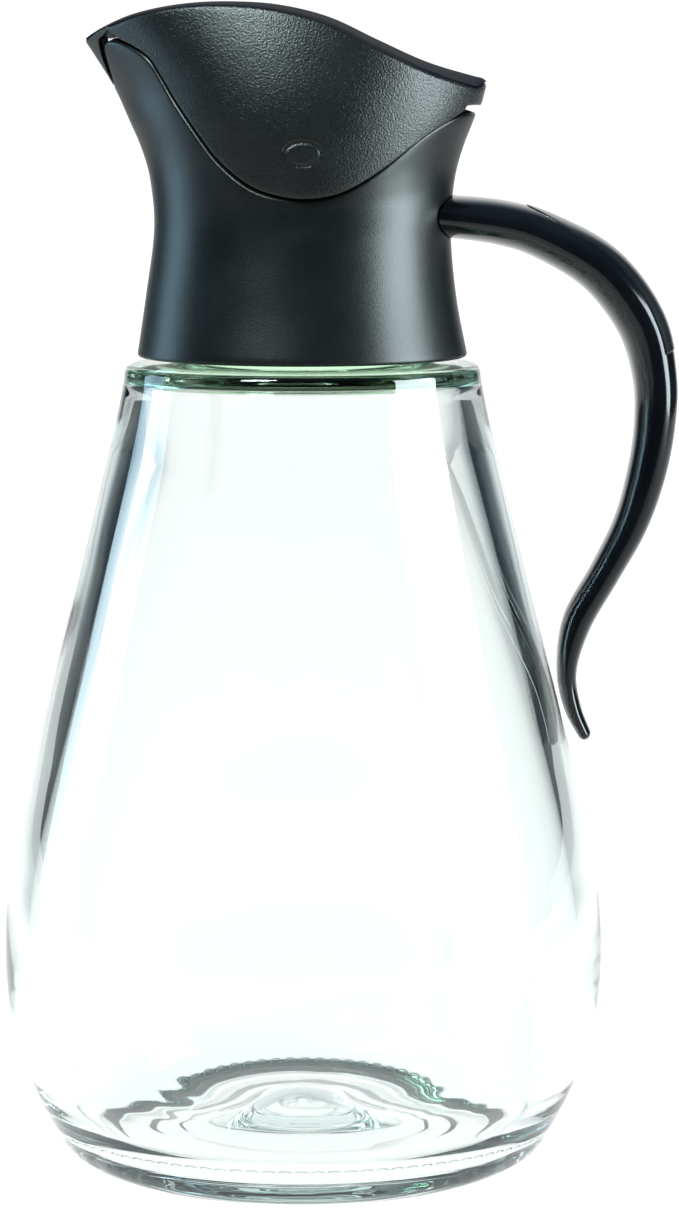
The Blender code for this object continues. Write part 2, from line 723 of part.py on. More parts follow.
def capped(name, rings):
    """A closed solid over rings of points, with a flat face at each end."""
    mesh = bmesh.new()
    rows = [[mesh.verts.new(p) for p in ring] for ring in rings]
    for a, b in zip(rows, rows[1:]):
        for i in range(len(a)):
            j = (i + 1) % len(a)
            mesh.faces.new((a[i], a[j], b[j], b[i]))
    mesh.faces.new(rows[0])
    mesh.faces.new(rows[-1])
    mesh.normal_update()
    bmesh.ops.recalc_face_normals(mesh, faces=mesh.faces)
    return object_from(name, mesh)


def back_strip(name, start, end, margin):
    """The inlaid strip's solid on the handle's back, or a cutter a margin larger for its bed."""
    rings = []
    frames = handle_frames(start, end, INLAY_ROWS)
    for row, (point, outwards, thick, wide) in enumerate(frames):
        taper = math.sqrt(min(row / INLAY_ROWS / INLAY_TAPER, 1.0))
        grown = INLAY_TIP_WIDTH + (1.0 - INLAY_TIP_WIDTH) * taper
        half = min(INLAY_HALF_WIDTH, wide * INLAY_WIDTH_LIMIT) * grown + margin
        top, low = [], []
        for column in range(INLAY_COLUMNS + 1):
            y = half * (2 * column / INLAY_COLUMNS - 1)
            c = min(abs(y) / wide, 0.985) ** (1 / HANDLE_SQUARENESS)
            height = thick / 2 * math.sqrt(1 - c * c) ** HANDLE_SQUARENESS
            above = INLAY_BED_HEIGHT if margin else INLAY_PROUD
            top.append(point + Vector((0.0, y, 0.0)) + outwards * (height + above))
            low.append(point + Vector((0.0, y, 0.0)) + outwards * (height - INLAY_THICKNESS - margin))
        rings.append(top + low[::-1])
    return capped(name, rings)


def make_handle():
    """An S-shaped lever, wide at the collar and narrow at the tail, with a bed for the inlaid strip."""
    rings = []
    rows = (len(HANDLE_STATIONS) - 1) * HANDLE_STEPS
    for point, outwards, thick, wide in handle_frames(0.0, len(HANDLE_STATIONS) - 1.0, rows):
        ring = []
        for i in range(HANDLE_SIDES):
            across, out = superellipse(2 * math.pi * (i + 0.5) / HANDLE_SIDES)
            ring.append(point + Vector((0.0, wide * across, 0.0)) + outwards * (thick / 2 * out))
        rings.append(ring)
    handle = capped("handle", rings)
    boolean(handle, helper(collar_clearance()), "DIFFERENCE")
    length, width, depth = TENON_SIZE
    x, z = TENON_PLACE
    low = (x - length / 2, -width / 2, z - depth / 2)
    high = (x + length / 2, width / 2, z + depth / 2)
    boolean(handle, helper(block("tenon", low, high)), "UNION")
    bed_start = INLAY_START - INLAY_BED_LENGTHENED
    bed_end = INLAY_END + INLAY_BED_LENGTHENED
    boolean(handle, helper(back_strip("inlay_bed", bed_start, bed_end, INLAY_GAP)), "DIFFERENCE")
    finish(handle, material("gloss_black_plastic", (0.020, 0.021, 0.024), 0.16))
    strip = back_strip("handle_inlay", INLAY_START, INLAY_END, 0.0)
    finish(strip, material("gloss_black_inlay", (0.030, 0.031, 0.034), 0.08))


def collar_clearance():
    """The head's form grown by the gap, which cuts the handle's root to the collar's curve."""
    rings = []
    for level in (0.1800, 0.1850, 0.1910, 0.1960, 0.2010, 0.2060):
        half = []
        for i in range(25):
            angle = math.pi * i / 24
            half.append(head_point(angle, level) + head_normal(angle, level) * HANDLE_GAP)
        rings.append(whole_ring(half))
    return capped("collar_clearance", rings)


for old in list(bpy.data.objects):
    bpy.data.objects.remove(old)

parts = bpy.data.collections.new(OBJECT_NAME)
cutters = bpy.data.collections.new("cutters")
bpy.context.scene.collection.children.link(parts)
bpy.context.scene.collection.children.link(cutters)

carrier = bpy.data.objects.new("dispenser_axis", None)
carrier.location = (AXIS_X, 0.0, 0.0)
parts.objects.link(carrier)

hinge = bpy.data.objects.new("lid_hinge", None)
hinge.location = (PIVOT[0], 0.0, PIVOT[1])
hinge.parent = carrier
parts.objects.link(hinge)

make_bottle()
make_collar()
make_lid()
make_handle()
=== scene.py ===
# A glass syrup dispenser with a black pouring collar, a flip lid and an S-shaped handle.
# Shapes are worked out about the bottle's axis and moved onto it at the end. Metres throughout.
import json
import math

import bmesh
import bpy
from mathutils import Matrix, Vector


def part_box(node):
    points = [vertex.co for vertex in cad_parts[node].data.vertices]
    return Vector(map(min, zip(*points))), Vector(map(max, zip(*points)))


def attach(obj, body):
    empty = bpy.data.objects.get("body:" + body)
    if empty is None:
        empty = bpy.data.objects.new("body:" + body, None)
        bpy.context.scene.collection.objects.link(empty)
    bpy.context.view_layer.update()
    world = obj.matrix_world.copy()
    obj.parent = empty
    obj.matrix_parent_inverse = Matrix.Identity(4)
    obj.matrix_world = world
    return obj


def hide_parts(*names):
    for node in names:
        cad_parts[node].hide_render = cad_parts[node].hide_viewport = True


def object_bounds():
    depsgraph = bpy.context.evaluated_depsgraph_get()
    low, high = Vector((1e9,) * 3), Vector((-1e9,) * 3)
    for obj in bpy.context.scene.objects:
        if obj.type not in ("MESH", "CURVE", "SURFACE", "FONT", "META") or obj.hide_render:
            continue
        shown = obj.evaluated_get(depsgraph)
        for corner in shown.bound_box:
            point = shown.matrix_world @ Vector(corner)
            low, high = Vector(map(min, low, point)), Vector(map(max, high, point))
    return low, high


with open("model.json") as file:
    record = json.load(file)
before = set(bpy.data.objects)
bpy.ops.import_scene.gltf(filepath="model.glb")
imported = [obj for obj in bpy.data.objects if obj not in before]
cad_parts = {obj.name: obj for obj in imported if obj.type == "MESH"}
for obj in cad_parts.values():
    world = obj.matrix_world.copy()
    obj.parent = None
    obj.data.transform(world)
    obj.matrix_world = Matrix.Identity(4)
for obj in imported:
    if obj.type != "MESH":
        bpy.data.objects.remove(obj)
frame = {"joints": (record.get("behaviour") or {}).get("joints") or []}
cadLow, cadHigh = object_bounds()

glassLow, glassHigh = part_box("glass_bottle")
axisX = (glassLow.x + glassHigh.x) / 2
hingeAt = frame["joints"][0]["pos_m"]
pivot = (hingeAt[0] - axisX, hingeAt[2])  # the lid's pivot, seen from the side
print("frame loaded, bottle axis at", round(axisX, 5))


# Curves and small sums that every piece uses.
def ease(share):
    share = min(max(share, 0.0), 1.0)
    return share * share * (3.0 - 2.0 * share)


def curveThrough(points, steps):  # a smooth line through the points
    ends = [2 * points[0] - points[1]] + points + [2 * points[-1] - points[-2]]
    found = []
    for i in range(1, len(ends) - 2):
        before, start, end, after = ends[i - 1], ends[i], ends[i + 1], ends[i + 2]
        for step in range(steps):
            t = step / steps
            found.append(
                0.5 * (2 * start + (end - before) * t
                       + (2 * before - 5 * start + 4 * end - after) * t ** 2
                       + (3 * start - before - 3 * end + after) * t ** 3)
            )
    found.append(points[-1].copy())
    return found


def readTable(table, place):  # a row between the table's rows, on smooth curves
    row = 0
    while row < len(table) - 2 and place > table[row + 1][0]:
        row += 1
    start, end = table[row], table[row + 1]
    before = table[max(row - 1, 0)]
    after = table[min(row + 2, len(table) - 1)]
    span = end[0] - start[0]
    t = (place - start[0]) / span
    values = []
    for k in range(1, len(start)):
        leave = (end[k] - before[k]) / (end[0] - before[0]) * span
        arrive = (after[k] - start[k]) / (after[0] - start[0]) * span
        values.append(
            (2 * t ** 3 - 3 * t ** 2 + 1) * start[k] + (t ** 3 - 2 * t ** 2 + t) * leave
            + (3 * t ** 2 - 2 * t ** 3) * end[k] + (t ** 3 - t ** 2) * arrive
        )
    return values


def upright(points):
    return [Vector((radius, 0.0, height)) for radius, height in points]


def meshObject(name, mesh):
    data = bpy.data.meshes.new(name)
    mesh.to_mesh(data)
    mesh.free()
    made = bpy.data.objects.new(name, data)
    bpy.context.scene.collection.objects.link(made)
    return made


def applied(obj):  # the evaluated shape as a plain mesh, with no modifier left
    bpy.context.view_layer.update()
    done = bpy.data.meshes.new_from_object(obj.evaluated_get(bpy.context.evaluated_depsgraph_get()))
    obj.modifiers.clear()
    obj.data = done
    return obj


def carve(obj, cutter, operation="DIFFERENCE"):
    change = obj.modifiers.new("cut", "BOOLEAN")
    change.object = cutter
    change.operation = operation
    change.solver = "EXACT"
    applied(obj)
    bpy.data.objects.remove(cutter)


def placePiece(obj, surface, slotName, body, *nodes, sharpDegrees=38.0):
    data = obj.data
    data.transform(Matrix.Translation((axisX, 0.0, 0.0)))
    for vert in data.vertices:  # finer curves bulge some hundredths of a millimetre past the solids
        vert.co = [min(max(c, low), high) for c, low, high in zip(vert.co, cadLow, cadHigh)]
    data.materials.clear()
    data.materials.append(surface)
    data.shade_smooth()
    data.set_sharp_from_angle(angle=math.radians(sharpDegrees))
    if nodes:
        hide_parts(*nodes)
    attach(obj, body)
    print(obj.name, "has", len(data.polygons), "faces")


# Shader nodes, with sums written as plain expressions.
class Wire:
    def __init__(self, sheet, socket):
        self.sheet = sheet
        self.socket = socket

    def __add__(self, other):
        return self.sheet.sum("ADD", self, other)

    def __sub__(self, other):
        return self.sheet.sum("SUBTRACT", self, other)

    def __mul__(self, other):
        return self.sheet.sum("MULTIPLY", self, other)

    def __truediv__(self, other):
        return self.sheet.sum("DIVIDE", self, other)

    def __rsub__(self, other):
        return self.sheet.sum("SUBTRACT", other, self)

    def __rtruediv__(self, other):
        return self.sheet.sum("DIVIDE", other, self)

    __radd__ = __add__
    __rmul__ = __mul__


class NodeSheet:
    def __init__(self, tree):
        self.tree = tree

    def add(self, kind, settings=None, sockets=None, out=0):  # settings first, then values and links
        node = self.tree.nodes.new(kind)
        for name, value in (settings or {}).items():
            setattr(node, name, value)
        for name, value in (sockets or {}).items():
            if isinstance(value, Wire):
                self.tree.links.new(value.socket, node.inputs[name])
            else:
                node.inputs[name].default_value = value
        return Wire(self, node.outputs[out]) if len(node.outputs) else node

    def sum(self, operation, first, second):
        return self.add("ShaderNodeMath", {"operation": operation}, {0: first, 1: second})

    def limited(self, value, low, high):  # 0 at low, 1 at high, eased between
        ramp = {"interpolation_type": "SMOOTHSTEP"}
        return self.add("ShaderNodeMapRange", ramp, {"Value": value, "From Min": low, "From Max": high})

    def mixed(self, share, first, second):
        node = self.tree.nodes.new("ShaderNodeMix")
        node.data_type = "RGBA"
        for socket, value in ((node.inputs[0], share), (node.inputs[6], first), (node.inputs[7], second)):
            if isinstance(value, Wire):
                self.tree.links.new(value.socket, socket)
            else:
                socket.default_value = value
        return Wire(self, node.outputs[2])

    def place(self):
        return self.add("ShaderNodeTexCoord", out=3)

    def parts(self, vector):
        node = self.tree.nodes.new("ShaderNodeSeparateXYZ")
        self.tree.links.new(vector.socket, node.inputs[0])
        return [Wire(self, socket) for socket in node.outputs]

    def noise(self, scale, detail=2.0, roughness=0.5, at=None):
        sockets = {"Vector": at or self.place(), "Scale": scale, "Detail": detail, "Roughness": roughness}
        return self.add("ShaderNodeTexNoise", None, sockets)


def newSurface(name):
    made = bpy.data.materials.new(name)
    made.use_nodes = True
    sheet = NodeSheet(made.node_tree)
    return made, sheet, made.node_tree.nodes["Principled BSDF"]


def join(sheet, wire, node, socket):
    sheet.tree.links.new(wire.socket, node.inputs[socket])


# Glass bottle: the same heights and radii as the solid, on finer curves.
bottleShape = {
    "sides": 180,
    "curveSteps": 14,
    "neckTopZ": 0.1790,
    "neckRadius": 0.0245,
    "neckBore": 0.0205,
    "neckBoreFootZ": 0.1625,
    "neckEdge": 0.0010,
    "neckFillet": [(0.0, 0.0022), (0.0003, 0.0014), (0.0008, 0.0008), (0.0016, 0.0002), (0.0028, 0.0)],
    "shoulderZ": 0.1634,
    "shoulderRadius": 0.0363,
    "shoulderCorner": 0.0018,
    "outside": [(0.0363, 0.1608), (0.0390, 0.1480), (0.0468, 0.1170), (0.0561, 0.0800), (0.0604, 0.0600),
                (0.0620, 0.0430), (0.0607, 0.0270), (0.0564, 0.0140), (0.0516, 0.0045)],
    "heel": [(0.0504, 0.0025), (0.0488, 0.0012), (0.0472, 0.0003), (0.0460, 0.0)],
    "foot": [(0.0425, 0.0), (0.0418, 0.0002), (0.0408, 0.0009)],
    "hollow": [(0.0400, 0.0010), (0.0345, 0.0011), (0.0325, 0.0012), (0.0318, 0.0015), (0.0312, 0.0020),
               (0.0300, 0.0022), (0.0270, 0.0024), (0.0257, 0.0025), (0.0252, 0.0030), (0.0242, 0.0032),
               (0.0200, 0.0040), (0.0150, 0.0051), (0.0122, 0.0056), (0.0113, 0.0053), (0.0104, 0.0057),
               (0.0, 0.0060)],
    "floor": [(0.0, 0.0106), (0.0090, 0.0104), (0.0113, 0.0098), (0.0160, 0.0081), (0.0220, 0.0063),
              (0.0280, 0.0053)],
    "inside": [(0.0340, 0.0049), (0.0400, 0.0054), (0.0455, 0.0078), (0.0502, 0.0128), (0.0543, 0.0235),
               (0.0568, 0.0430), (0.0552, 0.0600), (0.0509, 0.0800), (0.0417, 0.1170), (0.0342, 0.1460)],
    "underShoulder": [(0.0324, 0.1560), (0.0321, 0.1588), (0.0312, 0.1602), (0.0290, 0.1608),
                      (0.0232, 0.1610), (0.0212, 0.1615)],
}


def bottleLine(shape):  # radius and height, up the inside, over the lip, down the outside
    steps = shape["curveSteps"]
    line = curveThrough(upright(shape["floor"] + shape["inside"]), steps)
    line += curveThrough(upright(shape["underShoulder"]), 4)
    bore, radius, edge, top = shape["neckBore"], shape["neckRadius"], shape["neckEdge"], shape["neckTopZ"]
    line += upright([(bore, shape["neckBoreFootZ"]), (bore, top - edge), (bore + edge, top)])
    line += upright([(radius - edge, top), (radius, top - edge)])
    line += upright([(radius + out, shape["shoulderZ"] + up) for out, up in shape["neckFillet"]])
    for step in range(9):
        turn = math.radians(90 - 90 * step / 8)
        out = shape["shoulderCorner"] * (1.0 - math.cos(turn))
        down = shape["shoulderCorner"] * (1.0 - math.sin(turn))
        line += upright([(shape["shoulderRadius"] - out, shape["shoulderZ"] - down)])
    line += curveThrough(upright(shape["outside"]), steps)[1:]
    line += upright(shape["heel"] + shape["foot"])
    line += curveThrough(upright(shape["hollow"]), 3)
    return line


def nodeTree(name, inputs):  # a geometry tree with named inputs
    tree = bpy.data.node_groups.new(name, "GeometryNodeTree")
    tree.interface.new_socket("Geometry", in_out="INPUT", socket_type="NodeSocketGeometry")
    tree.interface.new_socket("Geometry", in_out="OUTPUT", socket_type="NodeSocketGeometry")
    for label, kind in inputs:
        tree.interface.new_socket(label, in_out="INPUT", socket_type=kind)
    return tree


def treeSheet(tree):
    sheet = NodeSheet(tree)
    source = tree.nodes.new("NodeGroupInput")
    goal = tree.nodes.new("NodeGroupOutput")
    return sheet, {s.name: Wire(sheet, s) for s in source.outputs if s.name}, goal


def setInputs(change, tree, values):  # inputs are set by identifier
    for item in tree.interface.items_tree:
        if item.in_out == "INPUT" and item.name in values:
            change[item.identifier] = values[item.name]


def lastNodes(sheet, given, goal, shape):
    real = sheet.add("GeometryNodeRealizeInstances", None, {"Geometry": shape})
    dressed = sheet.add("GeometryNodeSetMaterial", None, {"Geometry": real, "Material": given["Surface"]})
    join(sheet, dressed, goal, "Geometry")


def turningTree():  # turns a line of points in the XZ plane about Z
    tree = nodeTree("turnedLine", [("Sides", "NodeSocketInt"), ("Rows", "NodeSocketInt"),
                                   ("Surface", "NodeSocketMaterial")])
    sheet, given, goal = treeSheet(tree)
    sizes = {"Size X": 1.0, "Size Y": 1.0, "Vertices X": given["Sides"] + 1, "Vertices Y": given["Rows"]}
    grid = sheet.add("GeometryNodeMeshGrid", None, sizes)
    index = sheet.add("GeometryNodeInputIndex")
    row = sheet.sum("MODULO", index, given["Rows"])
    column = sheet.add("ShaderNodeMath", {"operation": "FLOOR"}, {0: (index + 0.5) / given["Rows"]})
    where = sheet.add("GeometryNodeInputPosition")
    sample = sheet.add("GeometryNodeSampleIndex", {"data_type": "FLOAT_VECTOR", "domain": "POINT"},
                       {"Geometry": given["Geometry"], "Value": where, "Index": row})
    radius, aside, height = sheet.parts(sample)
    turn = column / given["Sides"] * (2 * math.pi)
    cosine = sheet.add("ShaderNodeMath", {"operation": "COSINE"}, {0: turn})
    sine = sheet.add("ShaderNodeMath", {"operation": "SINE"}, {0: turn})
    spot = sheet.add("ShaderNodeCombineXYZ", None, {"X": radius * cosine, "Y": radius * sine, "Z": height})
    moved = sheet.add("GeometryNodeSetPosition", None, {"Geometry": grid, "Position": spot})
    merged = sheet.add("GeometryNodeMergeByDistance", None, {"Geometry": moved, "Distance": 0.000002})
    lastNodes(sheet, given, goal, merged)
    return tree


def outwardFaces(obj):
    mesh = bmesh.new()
    mesh.from_mesh(obj.data)
    bmesh.ops.remove_doubles(mesh, verts=mesh.verts, dist=0.000002)
    bmesh.ops.recalc_face_normals(mesh, faces=mesh.faces)
    mesh.to_mesh(obj.data)
    mesh.free()


clearGlassLook = {
    "ior": 1.50,
    "roughness": 0.0,
    "tint": (0.985, 1.0, 0.992, 1.0),
    "shoulderTint": (0.72, 0.98, 0.70, 1.0),
    "shoulderFrom": 0.1595,
    "shoulderTo": 0.1612,
    "absorbed": (0.55, 0.82, 0.77, 1.0),
    "density": 10.5,
    "waveSize": 26.0,
    "waveHeight": 0.00035,
    "toolLines": 1800.0,
    "toolLineHeight": 0.00002,
    "toolLinesFrom": 0.016,  # the lines fade out above the foot
    "toolLinesTo": 0.034,
    "patchSize": 34.0,
    "patchFrom": 0.50,
    "patchTo": 0.66,
}


def clearGlass():
    look = clearGlassLook
    made, sheet, shader = newSurface("clearGlass")
    shader.inputs["Transmission Weight"].default_value = 1.0
    shader.inputs["IOR"].default_value = look["ior"]
    shader.inputs["Roughness"].default_value = look["roughness"]
    at = sheet.place()
    height = sheet.parts(at)[2]
    thick = sheet.limited(height, look["shoulderFrom"], look["shoulderTo"])
    join(sheet, sheet.mixed(thick, look["tint"], look["shoulderTint"]), shader, "Base Color")
    wave = sheet.noise(look["waveSize"], 1.0, 0.4, at) * look["waveHeight"]
    lines = sheet.add("ShaderNodeMath", {"operation": "SINE"}, {0: height * look["toolLines"]})
    nearFoot = 1 - sheet.limited(height, look["toolLinesFrom"], look["toolLinesTo"])
    patches = sheet.limited(sheet.noise(look["patchSize"], 2.0, 0.6, at), look["patchFrom"], look["patchTo"])
    relief = wave + lines * nearFoot * patches * look["toolLineHeight"]
    bump = sheet.add("ShaderNodeBump", None, {"Height": relief, "Distance": 1.0, "Strength": 1.0})
    join(sheet, bump, shader, "Normal")
    inside = sheet.tree.nodes.new("ShaderNodeVolumeAbsorption")
    inside.inputs["Color"].default_value = look["absorbed"]
    inside.inputs["Density"].default_value = look["density"]
    sheet.tree.links.new(inside.outputs[0], sheet.tree.nodes["Material Output"].inputs["Volume"])
    return made


def makeBottle(surface):
    line = bottleLine(bottleShape)
    mesh = bmesh.new()
    points = [mesh.verts.new(p) for p in line]
    for a, b in zip(points, points[1:]):
        mesh.edges.new((a, b))
    bottle = meshObject("bottle_glass", mesh)
    tree = turningTree()
    change = bottle.modifiers.new("turned", "NODES")
    change.node_group = tree
    setInputs(change, tree, {"Sides": bottleShape["sides"], "Rows": len(line), "Surface": surface})
    applied(bottle)
    outwardFaces(bottle)
    placePiece(bottle, surface, "clear_glass", "base", "glass_bottle", sharpDegrees=50.0)


# Small crescents moulded round the ring that the bottle stands on.
footMarks = {
    "Count": 84,
    "Radius": 0.0448,
    "Length": 0.0026,
    "Thickness": 0.00022,
    "Height": 0.0005,
    "Seed": 4,
}
frostedLook = {
    "dull": (0.50, 0.58, 0.57, 1.0),
    "clear": (0.74, 0.80, 0.78, 1.0),
    "grain": 1800.0,
    "roughness": 0.34,
    "spread": 0.20,
    "transmission": 0.70,
    "ior": 1.45,
}


def marksTree():
    kinds = {int: "NodeSocketInt", float: "NodeSocketFloat"}
    sockets = [(label, kinds[type(value)]) for label, value in footMarks.items()]
    tree = nodeTree("footMarks", sockets + [("Surface", "NodeSocketMaterial")])
    sheet, given, goal = treeSheet(tree)
    ring = sheet.add("GeometryNodeMeshCircle", None, {"Vertices": given["Count"], "Radius": given["Radius"]})
    bend = {"Resolution": 7, "Radius": given["Length"] / 2, "Start Angle": -1.2, "Sweep Angle": 2.4}
    arc = sheet.add("GeometryNodeCurveArc", None, bend)
    section = {"Resolution": 6, "Radius": given["Thickness"]}
    profile = sheet.add("GeometryNodeCurvePrimitiveCircle", None, section)
    crescent = sheet.add("GeometryNodeCurveToMesh", None,
                         {"Curve": arc, "Profile Curve": profile, "Fill Caps": True})
    index = sheet.add("GeometryNodeInputIndex")
    turn = index / given["Count"] * (2 * math.pi)
    lean = sheet.add("FunctionNodeRandomValue", {"data_type": "FLOAT"},
                     {2: -0.12, 3: 0.12, "ID": index, "Seed": given["Seed"]}, out=1)
    spun = sheet.add("ShaderNodeCombineXYZ", None, {"Z": turn + lean})
    placed = sheet.add("GeometryNodeInstanceOnPoints", None,
                       {"Points": ring, "Instance": crescent, "Rotation": spun})
    lift = sheet.add("ShaderNodeCombineXYZ", None, {"Z": given["Height"]})
    lifted = sheet.add("GeometryNodeTransform", None, {"Geometry": placed, "Translation": lift})
    lastNodes(sheet, given, goal, lifted)
    return tree


def frostedMark():
    look = frostedLook
    made, sheet, shader = newSurface("frostedMark")
    grain = sheet.noise(look["grain"], 2.0, 0.5)
    join(sheet, sheet.mixed(grain, look["dull"], look["clear"]), shader, "Base Color")
    join(sheet, look["roughness"] + grain * look["spread"], shader, "Roughness")
    shader.inputs["Transmission Weight"].default_value = look["transmission"]
    shader.inputs["IOR"].default_value = look["ior"]
    return made


def makeFootMarks(surface):
    marks = meshObject("foot_marks", bmesh.new())
    tree = marksTree()
    change = marks.modifiers.new("marks", "NODES")
    change.node_group = tree
    setInputs(change, tree, {**footMarks, "Surface": surface})
    applied(marks)
    placePiece(marks, surface, "clear_glass", "base")


# The head's outer form, which collar and lid share: height, reach to the front and rear, half width
# and how pointed the front is. Angles run from the spout, 0, to the rear, 180 degrees.
headShape = {
    "columns": 112,
    "stations": [
        (0.1650, 0.0337, 0.0336, 0.0337, 1.00),
        (0.1770, 0.0319, 0.0313, 0.0316, 1.00),
        (0.1910, 0.0301, 0.0301, 0.0301, 1.00),
        (0.2010, 0.0309, 0.0310, 0.0311, 1.04),
        (0.2070, 0.0326, 0.0325, 0.0320, 1.12),
        (0.2130, 0.0352, 0.0348, 0.0325, 1.22),
        (0.2190, 0.0379, 0.0367, 0.0327, 1.34),
        (0.2260, 0.0422, 0.0384, 0.0324, 1.46),
        (0.2300, 0.0449, 0.0392, 0.0320, 1.52),
        (0.2380, 0.0500, 0.0404, 0.0310, 1.60),
    ],
    "seam": [(-0.0334, 0.2268), (-0.0302, 0.2246), (-0.0276, 0.2207), (-0.0244, 0.2155), (-0.0175, 0.2059),
             (-0.0110, 0.2002), (-0.0049, 0.1978), (0.0015, 0.1972), (0.0082, 0.1985), (0.0158, 0.2028),
             (0.0246, 0.2094), (0.0300, 0.2129)],
    "seamGap": 0.0005,
    "seamSteps": 40,
    "turnWeight": 0.012,  # columns stand closer where the edge turns round the spout
    "turnUntil": 0.75,
    "reliefFront": (-0.0060, 0.0010),
}


def headPoint(angle, height, inwards=0.0):
    front, rear, side, point = readTable(headShape["stations"], height)
    reach, power = (front, point) if math.cos(angle) > 0 else (rear, 1.0)
    across = abs(math.sin(angle)) ** power
    return Vector((-(reach - inwards) * math.cos(angle), -(side - inwards) * across, height))


def headNormal(angle, height):
    along = headPoint(angle + 0.01, height) - headPoint(angle - 0.01, height)
    if angle < 0.01 or angle > math.pi - 0.01:
        along = Vector((0.0, -1.0, 0.0)) if angle < 1.0 else Vector((0.0, 1.0, 0.0))
    up = headPoint(angle, height + 0.0002) - headPoint(angle, height - 0.0002)
    return along.cross(up).normalized()


def headAngle(x, height):
    front, rear = readTable(headShape["stations"], height)[:2]
    share = -x / front if x < 0 else -x / rear
    return math.acos(min(max(share, -1.0), 1.0))


def seamMoved(distance):
    line = headShape["seam"]
    moved = []
    for i, (x, z) in enumerate(line):
        before, after = line[max(i - 1, 0)], line[min(i + 1, len(line) - 1)]
        run, rise = after[0] - before[0], after[1] - before[1]
        length = math.hypot(run, rise)
        moved.append((x - distance * rise / length, z + distance * run / length))
    return moved


def edgeLine(front, shift, rear):  # even steps along an edge, as angle and height
    count = headShape["columns"]
    scale = 100  # heights in centimetres, beside angles in radians
    corners = [Vector((math.radians(angle), height * scale)) for angle, height in front]
    corners += [Vector((headAngle(x, z), z * scale)) for x, z in seamMoved(shift)]
    corners += [Vector((math.radians(angle), height * scale)) for angle, height in rear]
    fine = curveThrough(corners, headShape["seamSteps"])
    lengths = [0.0]
    for a, b in zip(fine, fine[1:]):
        run = (headPoint(b.x, b.y / scale) - headPoint(a.x, a.y / scale)).length
        turned = abs(b.x - a.x) * (a.x < headShape["turnUntil"])
        lengths.append(lengths[-1] + run + headShape["turnWeight"] * turned)
    picked = []
    place = 0
    for step in range(count + 1):
        target = lengths[-1] * step / count
        while place < len(lengths) - 2 and lengths[place + 1] < target:
            place += 1
        share = (target - lengths[place]) / max(lengths[place + 1] - lengths[place], 1e-9)
        point = fine[place].lerp(fine[place + 1], min(max(share, 0.0), 1.0))
        picked.append((min(max(point.x, 0.0), math.pi), point.y / scale))
    return picked


def wholeRing(half):
    far = [Vector((p.x, -p.y, p.z)) for p in reversed(half[1:-1])]
    ends = [Vector((p.x, 0.0, p.z)) for p in (half[0], half[-1])]
    return ends[:1] + half[1:-1] + ends[1:] + far


def bridged(mesh, rows):  # faces between each ring and the next
    for a, b in zip(rows, rows[1:]):
        for i in range(len(a)):
            j = (i + 1) % len(a)
            mesh.faces.new((a[i], a[j], b[j], b[i]))


def skinned(name, rings, looped, marked=()):  # marked rings carry 1 in the attribute that smooths the lid's crown and paints shade on it
    mesh = bmesh.new()
    polished = mesh.verts.layers.float.new("polished")
    rows = []
    for number, ring in enumerate(rings):
        row = [mesh.verts.new(p) for p in ring]
        for vert in row:
            vert[polished] = 1.0 if number in marked else 0.0
        rows.append(row)
    bridged(mesh, rows + rows[:1] if looped else rows)
    bmesh.ops.remove_doubles(mesh, verts=mesh.verts, dist=0.00001)
    mesh.normal_update()
    bmesh.ops.recalc_face_normals(mesh, faces=mesh.faces)
    return meshObject(name, mesh)


def edgeFrames(edge, wall):  # point, outward direction and the way up off the edge
    points = [wall(angle, height) for angle, height in edge]
    frames = []
    for i, (angle, height) in enumerate(edge):
        if i in (0, len(edge) - 1):
            along = Vector((0.0, -1.0 if i == 0 else 1.0, 0.0))
        else:
            along = points[i + 1] - points[i - 1]
        normal = headNormal(angle, height)
        frames.append((points[i], normal, normal.cross(along).normalized()))
    return frames


collarShape = {
    "slot": [(0.0, 0.2192), (9.0, 0.2203), (16.0, 0.2232), (21.0, 0.2262), (25.0, 0.2278), (32.0, 0.2279)],
    "rear": [(163.0, 0.2139), (180.0, 0.2140)],
    "footZ": 0.1650,
    "wall": 0.0022,
    "rings": 34,
    "innerRings": 12,
    "topMargin": 0.0010,
    "edgeRounding": 0.0006,
    "reliefDepth": 0.0008,
    "reliefRear": (0.0230, 0.0330),
    "reliefFootZ": 0.1955,
    "reliefRise": 6.6,
    "reliefFade": 0.0070,
    "socketRadius": 0.0249,
    "socketTopZ": 0.1794,
    "webThickness": 0.0024,
    "webHole": 0.0190,
    "earInside": 0.0270,
    "earOutside": 0.0288,
    "earHalfWidth": 0.0038,
    "earFootZ": 0.1900,
    "pinRadius": 0.0013,
    "pinEnd": 0.0311,
    "pinRoot": 0.0274,
    "footSteps": 3,
    "edgeSteps": 6,
    "columnsShift": 1.4,
}


def collarWall(angle, height):
    shape = collarShape
    point = headPoint(angle, height)
    front, rear = headShape["reliefFront"], shape["reliefRear"]
    along = ease((point.x - front[0]) / (front[1] - front[0]))
    along *= 1.0 - ease((point.x - rear[0]) / (rear[1] - rear[0]))
    foot = shape["reliefFootZ"] + shape["reliefRise"] * point.x ** 2
    depth = shape["reliefDepth"] * along * ease((height - foot + shape["reliefFade"]) / shape["reliefFade"])
    return point - headNormal(angle, height) * depth


def blockObject(name, low, high):
    mesh = bmesh.new()
    bmesh.ops.create_cube(mesh, size=1.0)
    for vert in mesh.verts:
        vert.co = [(a + b) / 2 + c * (b - a) for a, b, c in zip(low, high, vert.co)]
    return meshObject(name, mesh)


